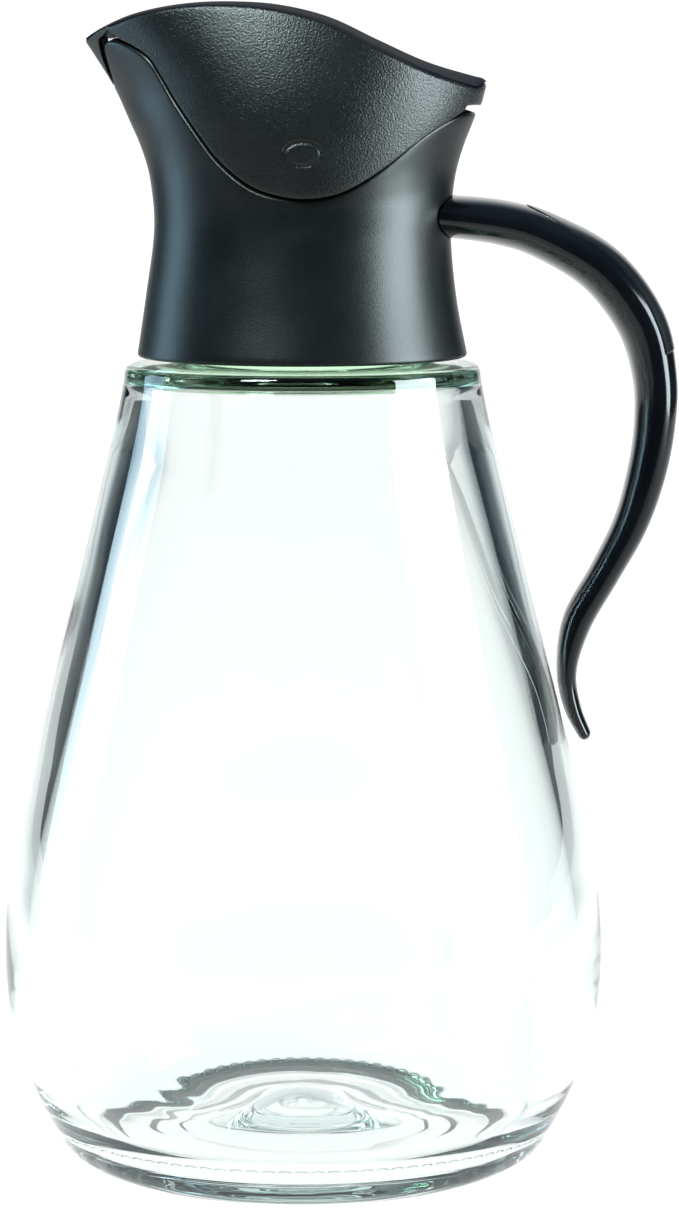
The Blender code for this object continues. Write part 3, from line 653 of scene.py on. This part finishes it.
def rodObject(name, radius, start, end):  # a round bar along Y at the pivot
    mesh = bmesh.new()
    length = abs(end - start)
    bmesh.ops.create_cone(mesh, cap_ends=True, segments=40, radius1=radius, radius2=radius, depth=length)
    for vert in mesh.verts:
        x, y, z = vert.co
        vert.co = (pivot[0] + x, (start + end) / 2 + z, pivot[1] - y)
    return meshObject(name, mesh)


def makeCollar(surface):
    shape = collarShape
    edge = edgeLine(shape["slot"], -headShape["seamGap"] / 2, shape["rear"])
    count = len(edge) - 1
    rings = []
    for step in range(-shape["footSteps"], shape["rings"]):
        share = max(step, 0) / shape["rings"]
        rounding = math.radians(90 * (1 + step / shape["footSteps"])) if step < 0 else math.pi / 2
        half = []
        for i, (angle, height) in enumerate(edge):
            even = math.pi * i / count
            way = even + (angle - even) * ease(share * shape["columnsShift"])
            foot = shape["footZ"] + shape["edgeRounding"]
            level = foot + (height - shape["topMargin"] - foot) * share
            inwards = 0.0
            if step < 0:
                level = foot - shape["edgeRounding"] * math.cos(rounding)
                inwards = shape["edgeRounding"] * (1.0 - math.sin(rounding))
            point = collarWall(way, level)
            half.append(point - headNormal(way, level) * inwards)
        rings.append(wholeRing(half))
    frames = edgeFrames(edge, collarWall)
    for step in range(shape["edgeSteps"] + 1):
        turn = math.radians(90 * step / shape["edgeSteps"])
        down = shape["edgeRounding"] * (1.0 - math.sin(turn))
        deep = shape["edgeRounding"] * (1.0 - math.cos(turn))
        rings.append(wholeRing([p - up * down - normal * deep for p, normal, up in frames]))
    rings.append(wholeRing([p - normal * shape["wall"] for p, normal, up in frames]))
    webTop = shape["socketTopZ"] + shape["webThickness"]
    for step in range(1, shape["innerRings"] + 1):
        share = step / shape["innerRings"]
        half = []
        for i, (angle, height) in enumerate(edge):
            way = angle + (math.pi * i / count - angle) * ease(share)
            top = height - shape["topMargin"]
            level = top + (webTop - top) * share
            half.append(collarWall(way, level) - headNormal(way, level) * shape["wall"])
        rings.append(wholeRing(half))
    inner = ((shape["webHole"], webTop), (shape["webHole"], shape["socketTopZ"]),
             (shape["socketRadius"], shape["socketTopZ"]), (shape["socketRadius"], shape["footZ"]))
    turns = [math.pi * i / count for i in range(count + 1)]
    for radius, level in inner:
        half = [Vector((-radius * math.cos(t), -radius * math.sin(t), level)) for t in turns]
        rings.append(wholeRing(half))
    collar = skinned("collar_shell", rings, True)
    for side in (-1, 1):
        inner, outer = sorted((side * shape["earInside"], side * shape["earOutside"]))
        half = shape["earHalfWidth"]
        low = (pivot[0] - half, inner, shape["earFootZ"])
        high = (pivot[0] + half, outer, pivot[1] + half)
        carve(collar, blockObject("ear", low, high), "UNION")
        pin = rodObject("pin", shape["pinRadius"], side * shape["pinRoot"], side * shape["pinEnd"])
        carve(collar, pin, "UNION")
    placePiece(collar, surface, "satin_black_plastic", "base", "pourer_collar")


lidShape = {
    "beakEdge": [(0.0, 0.2197), (6.0, 0.2207), (12.0, 0.2234), (17.5, 0.2263), (22.0, 0.2284),
                 (27.0, 0.2294)],
    "frontNotch": [(31.0, 0.2303), (32.5, 0.2298), (34.0, 0.2286)],
    "rearNotch": [(155.5, 0.2147), (157.5, 0.2155), (180.0, 0.2156)],
    "beakAngle": 27.0,
    "skirtAngle": 33.0,
    "beakFade": 4.0,
    "beakNarrowing": 0.16,
    "beakBack": (-0.0392, 0.2290),
    "beakBackWidth": 0.90,
    "beakUndersideWidth": 0.45,
    "crest": [(-0.0440, 0.2286), (-0.0396, 0.2314), (-0.0331, 0.2340), (-0.0234, 0.2358), (-0.0137, 0.2362),
              (-0.0041, 0.2355), (0.0056, 0.2331), (0.0153, 0.2286), (0.0250, 0.2243), (0.0347, 0.2214),
              (0.0376, 0.2208)],
    "crownFront": 0.0011,
    "crownRear": 0.0024,
    "crownRun": 0.0080,
    "crestLength": 0.965,
    "rimRounding": 0.0008,
    "topFront": 0.0021,
    "topRear": 0.0014,
    "wall": 0.0018,
    "lip": 0.0007,
    "lipRun": 0.0050,
    "proud": 0.00045,
    "proudRun": 0.0120,
    "lean": 0.08,
    "leanFrom": 0.008,
    "leanRun": 0.030,
    "rimShare": 0.40,
    "lipShare": 0.25,
    "lowWall": (0.0015, 0.0035),
    "crownRings": (1.0, 0.86, 0.72, 0.59, 0.46, 0.34, 0.22, 0.13, 0.06),
    "underRings": (0.15, 0.30, 0.48, 0.65, 0.82, 1.0),
    "skirtRings": 26,
    "innerRings": 12,
    "rimSteps": 5,
    # rim steps that join the crown's smoothing and painted shade, and how far below the crest these may
    # reach
    "polishedSteps": 3,
    "polishReach": 0.0050,
    "edgeSteps": 6,
    "bossHalfLength": 0.0044,
    "bossHalfHeight": 0.0031,
    "bossGroove": 0.0015,
    "bossDepth": 0.0005,
    "bossSides": 72,
    "bossSteps": 8,
    "boreGap": 0.0003,
    "boreFrom": 0.0200,
    "boreTo": 0.0314,
}


def crestHeight(x):
    return readTable(lidShape["crest"], x)[0]


def crownHeight(x):
    shape = lidShape
    crown = shape["crownFront"] + (shape["crownRear"] - shape["crownFront"]) * ease((x + 0.030) / 0.060)
    first, last = shape["crest"][0][0], shape["crest"][-1][0]
    return crown * ease((x - first) / shape["crownRun"]) * ease((last - x) / (shape["crownRun"] / 2) + 0.25)


def topThickness(x):
    return lidShape["topFront"] + (lidShape["topRear"] - lidShape["topFront"]) * ease((x + 0.010) / 0.030)


def lidWall(angle, height, above):  # above counts up from the skirt's edge
    shape = lidShape
    point = headPoint(angle, height)
    widening = ease((math.degrees(angle) - shape["beakAngle"]) / (shape["skirtAngle"] - shape["beakAngle"]))
    point.y *= 1.0 - shape["beakNarrowing"] * (1.0 - widening)
    leaning = min(max((above - shape["leanFrom"]) / shape["leanRun"], 0.0), 1.1)
    point.y *= 1.0 - shape["lean"] * leaning ** 2
    front = headShape["reliefFront"]
    behind = ease((point.x - front[0]) / (front[1] - front[0]))
    proud = shape["proud"] * behind * (1.0 - ease(above / shape["proudRun"]))
    return point + headNormal(angle, height) * proud


def lidInside(angle, height, above):
    shape = lidShape
    wall = shape["lip"] + (shape["wall"] - shape["lip"]) * ease(above / shape["lipRun"])
    return lidWall(angle, height, above) - headNormal(angle, height) * wall


def rimLevel(angle, under):  # where the wall meets the crown, found in small steps
    level, share = 0.2300, 0.6
    for _ in range(12):
        x = lidWall(angle, level, 1.0).x
        level += share * (crestHeight(x) - crownHeight(x) - topThickness(x) * under - level)
    return level


def beakShare(angle):
    shape = lidShape
    return 1.0 - ease((math.degrees(angle) - shape["beakAngle"] + shape["beakFade"]) / shape["beakFade"])


def crownRing(points, share, under):
    half = []
    for point in points:
        x = point.x * (1.0 - (1.0 - lidShape["crestLength"]) * share)
        level = crestHeight(x) - topThickness(x) * under - crownHeight(point.x) * (1.0 - share) ** 2
        if under:
            level = point.z + (level - point.z) * ease(share * 1.5)
        half.append(Vector((x, point.y * (1.0 - share), level)))
    return wholeRing(half)


def bossGroove(side):  # an oval ring with a round bottom
    shape = lidShape
    wall = abs(headPoint(headAngle(pivot[0], pivot[1]), pivot[1]).y) + shape["proud"] / 2
    half, depth, sides = shape["bossGroove"] / 2, shape["bossDepth"], shape["bossSides"]
    flank = [(half + 0.0003, 0.0060), (half + 0.0003, 0.0004), (half + 0.0001, 0.0)]  # flares above the wall
    section = list(flank)
    for step in range(1, shape["bossSteps"]):
        turn = math.pi * step / shape["bossSteps"]
        section.append((half * math.cos(turn), -depth * math.sin(turn)))
    section += [(-out, up) for out, up in reversed(flank)]
    mesh = bmesh.new()
    loops = []
    for out, up in section:
        loop = []
        for i in range(sides):
            turn = 2 * math.pi * i / sides
            x = pivot[0] + (shape["bossHalfLength"] - half + out) * math.cos(turn)
            z = pivot[1] + (shape["bossHalfHeight"] - half + out) * math.sin(turn)
            loop.append(mesh.verts.new((x, side * (wall + up), z)))
        loops.append(loop)
    bridged(mesh, loops + loops[:1])
    mesh.normal_update()
    bmesh.ops.recalc_face_normals(mesh, faces=mesh.faces)
    return meshObject("boss_groove", mesh)


def lidColumns(shape):
    columns = []
    for angle, height in edgeLine(shape["beakEdge"] + shape["frontNotch"], headShape["seamGap"] / 2,
                                  shape["rearNotch"]):
        rim = rimLevel(angle, 0)
        span = rim - height
        rounding = min(shape["rimRounding"], shape["rimShare"] * span)
        lip = min(shape["lip"] / 2, shape["lipShare"] * span)
        low = 1.0 - ease((span - shape["lowWall"][0]) / (shape["lowWall"][1] - shape["lowWall"][0]))
        columns.append((angle, height, rim, rounding, lip, low))
    return columns


def makeLid(surface):
    shape = lidShape
    columns = lidColumns(shape)
    edge = [column[:2] for column in columns]
    frames = edgeFrames(edge, lambda angle, height: lidWall(angle, height, 0.0))
    outer, inner = [], []
    for (angle, height, rim, rounding, lip, low), (point, normal, up) in zip(columns, frames):
        outer.append(point + up * lip)
        corner = point + up * lip - normal * shape["lip"]
        under = Vector((corner.x, point.y * shape["beakUndersideWidth"], point.z))
        inner.append(corner.lerp(under, beakShare(angle)))
    walls = [lidWall(angle, rim, rim - height) for angle, height, rim, rounding, lip, low in columns]
    rings = [crownRing(walls, share, 0) for share in shape["crownRings"]]
    # the crown's rings and the rim's first steps are smoothed and carry painted shade
    polished = set(range(len(rings)))
    for step in range(shape["rimSteps"] + 1):
        turn = math.radians(90 - 90 * step / shape["rimSteps"])
        half = []
        for angle, height, rim, rounding, lip, low in columns:
            z = rim - rounding * (1.0 - math.sin(turn))
            inwards = rounding * (1.0 - math.cos(turn))
            half.append(lidWall(angle, z, z - height) - headNormal(angle, z) * inwards)
        rings.append(wholeRing(half))
        if step < shape["polishedSteps"]:
            polished.add(len(rings) - 1)
    for step in range(1, shape["skirtRings"]):
        share = step / shape["skirtRings"]
        half = []
        for corner, (angle, height, rim, rounding, lip, low) in zip(outer, columns):
            top = rim - rounding
            z = top + (corner.z - top) * share
            lean = corner - lidWall(angle, corner.z, corner.z - height)
            half.append(lidWall(angle, z, z - height) + lean * share ** 2)
        rings.append(wholeRing(half))
    for step in range(shape["edgeSteps"] + 1):
        turn = math.radians(180 * step / shape["edgeSteps"])
        half = []
        for corner, goal, (point, normal, up), column in zip(outer, inner, frames, columns):
            drop = column[4] * math.sin(turn)
            half.append(corner.lerp(goal, (1.0 - math.cos(turn)) / 2) - up * drop)
        rings.append(wholeRing(half))
    innerRims = []
    for corner, (angle, height, rim, rounding, lip, low) in zip(inner, columns):
        underTop = rimLevel(angle, 1)
        rimUnder = lidInside(angle, underTop, underTop - height)
        back = Vector((shape["beakBack"][0], corner.y * shape["beakBackWidth"], shape["beakBack"][1]))
        innerRims.append(rimUnder.lerp(back, beakShare(angle)))
    for step in range(1, shape["innerRings"] + 1):
        share = step / shape["innerRings"]
        half = []
        for corner, goal, (angle, height, rim, rounding, lip, low) in zip(inner, innerRims, columns):
            straight = corner.lerp(goal, share)
            lean = corner - lidInside(angle, corner.z, corner.z - height)
            curved = lidInside(angle, straight.z, straight.z - height) + lean * (1.0 - share)
            kept = 1.0 if step == shape["innerRings"] else max(beakShare(angle), low)
            half.append(curved.lerp(straight, kept))
        rings.append(wholeRing(half))
    rings += [crownRing(innerRims, share, 1) for share in shape["underRings"]]
    lid = skinned("lid_shell", rings, False, polished)
    boreRadius = collarShape["pinRadius"] + shape["boreGap"]
    for side in (-1, 1):
        carve(lid, rodObject("bore", boreRadius, side * shape["boreFrom"], side * shape["boreTo"]))
        carve(lid, bossGroove(side))
    for vert, polishAndShade in zip(lid.data.vertices, lid.data.attributes["polished"].data):
        if vert.co.z < crestHeight(vert.co.x) - shape["polishReach"]:  # bores and grooves keep the grain and get no painted shade
            polishAndShade.value = 0.0
    placePiece(lid, surface, "textured_black_plastic", "lid", "flip_lid")


# Handle: middle line, thickness and half width from the collar to the tail.
handleShape = {
    "stations": [
        (0.0270, 0.1935, 0.0085, 0.0134), (0.0400, 0.1920, 0.0091, 0.0130), (0.0493, 0.1891, 0.0094, 0.0124),
        (0.0607, 0.1824, 0.0101, 0.0117), (0.0688, 0.1718, 0.0099, 0.0109), (0.0719, 0.1605, 0.0089, 0.0101),
        (0.0719, 0.1501, 0.0082, 0.0095), (0.0702, 0.1400, 0.0077, 0.0089), (0.0671, 0.1301, 0.0069, 0.0083),
        (0.0620, 0.1202, 0.0062, 0.0077), (0.0565, 0.1102, 0.0060, 0.0071), (0.0544, 0.1004, 0.0042, 0.0065),
        (0.0556, 0.0925, 0.0036, 0.0058), (0.0589, 0.0852, 0.0026, 0.0046),
    ],
    "sides": 56,
    "rows": 150,
    "squareness": 0.86,
    "curveSteps": 24,
    "directionReach": 4,
    "gap": 0.0003,
    "gapLevels": (0.1800, 0.1850, 0.1910, 0.1960, 0.2010, 0.2060),
    "gapSides": 48,
    "tipLength": 0.0015,
    "tipRows": 8,
}

# The strip let into the handle's back; start, end and bedMargin count the handle's stations.
inlayShape = {
    "start": 1.45,
    "end": 4.55,
    "halfWidth": 0.0098,
    "thickness": 0.0014,
    "proud": 0.0002,
    "gap": 0.0003,
    "rows": 90,
    "columns": 24,
    "taper": 0.30,
    "tipWidth": 0.25,
    "widthLimit": 0.90,
    "edgeLimit": 0.985,
    "bedMargin": 0.03,
    "bedHeight": 0.0040,
}


def handleFrames(start, end, rows):
    stations, steps, reach = (handleShape[key] for key in ("stations", "curveSteps", "directionReach"))
    places = curveThrough([Vector((x, 0.0, z)) for x, z, thick, wide in stations], steps)
    sizes = curveThrough([Vector((thick, wide, 0.0)) for x, z, thick, wide in stations], steps)
    frames = []
    for row in range(rows + 1):
        place = (start + (end - start) * row / rows) * steps
        i = min(int(place), len(places) - 2)
        point = places[i].lerp(places[i + 1], place - i)
        size = sizes[i].lerp(sizes[i + 1], place - i)
        along = (places[min(i + reach + 1, len(places) - 1)] - places[max(i - reach, 0)]).normalized()
        frames.append((point, Vector((-along.z, 0.0, along.x)), along, size.x, size.y))
    return frames


def roundedSquare(turn, power):
    c, s = math.cos(turn), math.sin(turn)
    return math.copysign(abs(c) ** power, c), math.copysign(abs(s) ** power, s)


def capped(name, rings):
    mesh = bmesh.new()
    rows = [[mesh.verts.new(p) for p in ring] for ring in rings]
    bridged(mesh, rows)
    mesh.faces.new(rows[0])
    mesh.faces.new(rows[-1])
    mesh.normal_update()
    bmesh.ops.recalc_face_normals(mesh, faces=mesh.faces)
    return meshObject(name, mesh)


def backStrip(name, start, end, margin):
    shape = inlayShape
    power = handleShape["squareness"]
    rings = []
    for row, (point, outwards, along, thick, wide) in enumerate(handleFrames(start, end, shape["rows"])):
        taper = math.sqrt(min(row / shape["rows"] / shape["taper"], 1.0))
        grown = shape["tipWidth"] + (1.0 - shape["tipWidth"]) * taper
        half = min(shape["halfWidth"], wide * shape["widthLimit"]) * grown + margin
        top, low = [], []
        for column in range(shape["columns"] + 1):
            y = half * (2 * column / shape["columns"] - 1)
            c = min(abs(y) / wide, shape["edgeLimit"]) ** (1 / power)
            height = thick / 2 * math.sqrt(1 - c * c) ** power
            above = shape["bedHeight"] if margin else shape["proud"]
            top.append(point + Vector((0.0, y, 0.0)) + outwards * (height + above))
            low.append(point + Vector((0.0, y, 0.0)) + outwards * (height - shape["thickness"] - margin))
        rings.append(top + low[::-1])
    return capped(name, rings)


def collarClearance():  # the collar's form, a gap larger, to cut the handle's root with
    shape = handleShape
    rings = []
    for level in shape["gapLevels"]:
        half = []
        for i in range(shape["gapSides"] + 1):
            angle = math.pi * i / shape["gapSides"]
            half.append(headPoint(angle, level) + headNormal(angle, level) * shape["gap"])
        rings.append(wholeRing(half))
    return capped("collar_clearance", rings)


def makeHandle(surface, stripSurface):
    shape = handleShape
    rings = []
    frames = handleFrames(0.0, len(shape["stations"]) - 1.0, shape["rows"])
    tail = frames[-1][0]
    frames = [f for f in frames if (tail - f[0]).length > shape["tipLength"]]
    last, outwards, along, thick, wide = frames[-1]
    for step in range(1, shape["tipRows"] + 1):
        turn = math.pi / 2 * step / (shape["tipRows"] + 0.5)
        end = last + along * shape["tipLength"] * math.sin(turn)
        frames.append((end, outwards, along, thick * math.cos(turn), wide * math.cos(turn)))
    for point, outwards, along, thick, wide in frames:
        ring = []
        for i in range(shape["sides"]):
            across, out = roundedSquare(2 * math.pi * (i + 0.5) / shape["sides"], shape["squareness"])
            ring.append(point + Vector((0.0, wide * across, 0.0)) + outwards * (thick / 2 * out))
        rings.append(ring)
    handle = capped("handle_lever", rings)
    carve(handle, collarClearance())
    start, end, margin = inlayShape["start"], inlayShape["end"], inlayShape["bedMargin"]
    carve(handle, backStrip("bed", start - margin, end + margin, inlayShape["gap"]))
    placePiece(handle, surface, "gloss_black_plastic", "base", "handle", sharpDegrees=32.0)
    strip = backStrip("handle_strip", start, end, 0.0)
    placePiece(strip, stripSurface, "gloss_black_inlay", "base", "handle_inlay")


# Plastics. Grain is in spots per metre, bump heights in metres.
plasticLooks = {
    "texturedBlack": {"colour": (0.0014, 0.0020, 0.0022, 1.0), "worn": (0.0030, 0.0040, 0.0042, 1.0),
                      "roughness": 0.34, "spread": 0.10, "grain": 2400.0, "bump": 0.000130, "shine": 0.46,
                      # the last five values are for the lid's crown: smoother and less bumpy, with painted
                      # shade from a dark shader that has no reflections
                      "topColour": (0.006, 0.007, 0.010, 1.0), "topShare": 0.92, "topRoughness": 0.17,
                      "topBump": 0.10, "topDull": 0.40},
    "satinBlack": {"colour": (0.0015, 0.0022, 0.0024, 1.0), "worn": (0.0030, 0.0040, 0.0045, 1.0),
                   "roughness": 0.34, "spread": 0.08, "grain": 3300.0, "bump": 0.000026, "shine": 0.36},
    "glossBlack": {"colour": (0.0015, 0.0020, 0.0030, 1.0), "worn": (0.003, 0.0035, 0.0045, 1.0),
                   "roughness": 0.13, "spread": 0.04, "grain": 900.0, "bump": 0.000002, "shine": 0.36},
    "glossStrip": {"colour": (0.005, 0.006, 0.007, 1.0), "worn": (0.009, 0.010, 0.012, 1.0),
                   "roughness": 0.20, "spread": 0.03, "grain": 700.0, "bump": 0.000001, "shine": 0.90},
}
wornPatches = {"size": 70.0, "from": 0.35, "to": 0.65}


def blackPlastic(name, polishedAndShadedTop=False):
    look = plasticLooks[name]
    made, sheet, shader = newSurface(name)
    shader.inputs["Specular IOR Level"].default_value = look["shine"]
    at = sheet.place()
    grain = sheet.noise(look["grain"], 3.0, 0.55, at)
    broad = sheet.noise(wornPatches["size"], 3.0, 0.55, at)
    worn = sheet.limited(broad, wornPatches["from"], wornPatches["to"])
    join(sheet, sheet.mixed(worn, look["colour"], look["worn"]), shader, "Base Color")
    rough = look["roughness"] + (grain - 0.5) * look["spread"] + (broad - 0.5) * look["spread"]
    height = grain * look["bump"]
    if polishedAndShadedTop:
        top = sheet.add("ShaderNodeAttribute", {"attribute_name": "polished"}, out=2)
        rough = rough * (1 - top) + top * look["topRoughness"]
        height = height * (1 - top * (1 - look["topBump"]))
    join(sheet, rough, shader, "Roughness")
    bump = sheet.add("ShaderNodeBump", None, {"Height": height, "Distance": 1.0, "Strength": 1.0})
    join(sheet, bump, shader, "Normal")
    if polishedAndShadedTop:  # painted shade: the crown is mixed towards a dark shader with no reflections, so it stays dark under any light
        dark = sheet.tree.nodes.new("ShaderNodeBsdfPrincipled")
        dark.inputs["Base Color"].default_value = look["topColour"]
        dark.inputs["Roughness"].default_value = look["topDull"]
        dark.inputs["Specular IOR Level"].default_value = 0.0
        both = sheet.tree.nodes.new("ShaderNodeMixShader")
        join(sheet, top * look["topShare"], both, 0)
        sheet.tree.links.new(shader.outputs[0], both.inputs[1])
        sheet.tree.links.new(dark.outputs[0], both.inputs[2])
        sheet.tree.links.new(both.outputs[0], sheet.tree.nodes["Material Output"].inputs["Surface"])
    return made


# Floor, light and camera. The floor glows most under and behind the bottle, and the world is bright
# behind it, which leaves the black plastic dark.
studio = {
    "floorWidth": 1.7,
    "floorFront": -0.45,
    "floorRear": 7.5,
    "floorDrop": 0.00005,
    "floorShade": (0.14, 0.14, 0.14, 1.0),
    "floorColour": (0.16, 0.16, 0.16, 1.0),
    "floorRoughness": 0.70,
    "floorShine": 0.20,
    "floorGlow": 1.03,
    "glowFrom": -0.30,
    "glowTo": -0.08,
    "glowInner": 0.13,
    "glowOuter": 0.40,
    "glowWidens": 0.11,
    "glowDim": (0.50, 0.50, 0.50, 1.0),
    "white": (1.0, 1.0, 1.0, 1.0),
    "shadeColour": (0.60, 0.82, 1.0, 1.0),
    "back": 1.05,
    "backFrom": 0.86,
    "backTo": 0.97,
    "backLow": 0.26,
    "backHigh": 0.80,
    "front": 0.05,
    "top": 0.18,
    "topFrom": 0.45,
    "topTo": 0.90,
    "aimHeight": 0.14,
    # place, width, height, power and colour
    "lights": {
        "left_light": ((-0.88, 0.30, 0.22), 0.36, 0.60, 3.2, (0.50, 0.80, 1.0)),
        "right_light": ((0.90, -0.20, 0.24), 0.54, 0.60, 19.5, (0.82, 0.98, 1.0)),
        "front_light": ((-0.40, -0.60, 0.86), 0.30, 0.30, 19.0, (0.80, 1.0, 0.96)),
    },
}


def paleFloor():
    made, sheet, shader = newSurface("paleFloor")
    at = sheet.place()
    tone = sheet.noise(2.0, 2.0, 0.5, at)
    join(sheet, sheet.mixed(tone, studio["floorShade"], studio["floorColour"]), shader, "Base Color")
    across, depth, height = sheet.parts(at)
    beside = sheet.add("ShaderNodeMath", {"operation": "ABSOLUTE"}, {0: across})
    beside = beside - depth * studio["glowWidens"]
    glow = sheet.limited(depth, studio["glowFrom"], studio["glowTo"])
    glow = glow * (1 - sheet.limited(beside, studio["glowInner"], studio["glowOuter"]))
    join(sheet, sheet.mixed(glow, studio["glowDim"], studio["white"]), shader, "Emission Color")
    shader.inputs["Roughness"].default_value = studio["floorRoughness"]
    shader.inputs["Specular IOR Level"].default_value = studio["floorShine"]
    shader.inputs["Emission Strength"].default_value = studio["floorGlow"]
    return made


def makeFloor():
    mesh = bmesh.new()
    bmesh.ops.create_grid(mesh, x_segments=8, y_segments=8, size=0.5)
    front, rear = studio["floorFront"], studio["floorRear"]
    for vert in mesh.verts:
        x, y = vert.co.x * studio["floorWidth"], vert.co.y * (rear - front)
        vert.co = (x, (front + rear) / 2 + y, -studio["floorDrop"])
    floor = meshObject("floor", mesh)
    floor.data.materials.append(paleFloor())


def makeWorld():
    world = bpy.data.worlds.new("studio")
    bpy.context.scene.world = world
    world.use_nodes = True
    sheet = NodeSheet(world.node_tree)
    world.node_tree.nodes.clear()
    side, depth, height = sheet.parts(sheet.add("ShaderNodeTexCoord", out=0))
    level = sheet.add("ShaderNodeMath", {"operation": "SQRT"}, {0: side * side + depth * depth})
    back = sheet.limited(depth / (level + 0.0001), studio["backFrom"], studio["backTo"])
    back = back * (1 - sheet.limited(height, studio["backLow"], studio["backHigh"]))
    above = sheet.limited(height, studio["topFrom"], studio["topTo"])
    shade = studio["front"] + back * (studio["back"] - studio["front"])
    shade = shade + above * (1 - back) * (studio["top"] - studio["front"])
    tone = sheet.mixed(back, studio["shadeColour"], studio["white"])
    glow = sheet.add("ShaderNodeBackground", None, {"Color": tone, "Strength": shade})
    out = sheet.tree.nodes.new("ShaderNodeOutputWorld")
    join(sheet, glow, out, "Surface")


def makeLights():
    for name, (spot, width, height, power, colour) in studio["lights"].items():
        data = bpy.data.lights.new(name, "AREA")
        data.shape = "RECTANGLE"
        data.size = width
        data.size_y = height
        data.energy = power
        data.color = colour
        light = bpy.data.objects.new(name, data)
        light.location = spot
        aim = Vector((0.0, 0.0, studio["aimHeight"])) - Vector(spot)
        light.rotation_euler = aim.to_track_quat("-Z", "Y").to_euler()
        bpy.context.scene.collection.objects.link(light)


cameraPlace = {"distance": 0.750, "aside": 0.00752, "height": 0.215, "tilt": 7.705, "focalPixels": 3674.0,
               "imageHeight": 1210.0}


def makeCamera():
    data = bpy.data.cameras.new("camera")
    data.sensor_width = 36.0
    data.lens = cameraPlace["focalPixels"] * data.sensor_width / cameraPlace["imageHeight"]
    data.clip_start = 0.01
    camera = bpy.data.objects.new("camera", data)
    camera.location = (axisX + cameraPlace["aside"], -cameraPlace["distance"], cameraPlace["height"])
    camera.rotation_euler = (math.radians(90.0 - cameraPlace["tilt"]), 0.0, 0.0)
    bpy.context.scene.collection.objects.link(camera)
    bpy.context.scene.camera = camera


glassSurface = clearGlass()
makeBottle(glassSurface)
makeFootMarks(frostedMark())
makeCollar(blackPlastic("satinBlack"))
makeLid(blackPlastic("texturedBlack", polishedAndShadedTop=True))
makeHandle(blackPlastic("glossBlack"), blackPlastic("glossStrip"))
makeFloor()
makeWorld()
makeLights()
makeCamera()
scene = bpy.context.scene
scene.view_settings.view_transform = "Standard"
scene.cycles.max_bounces = 18  # light crosses the thick foot many times
scene.cycles.transmission_bounces = 18
scene.cycles.glossy_bounces = 12
print("floor, light and camera ready")
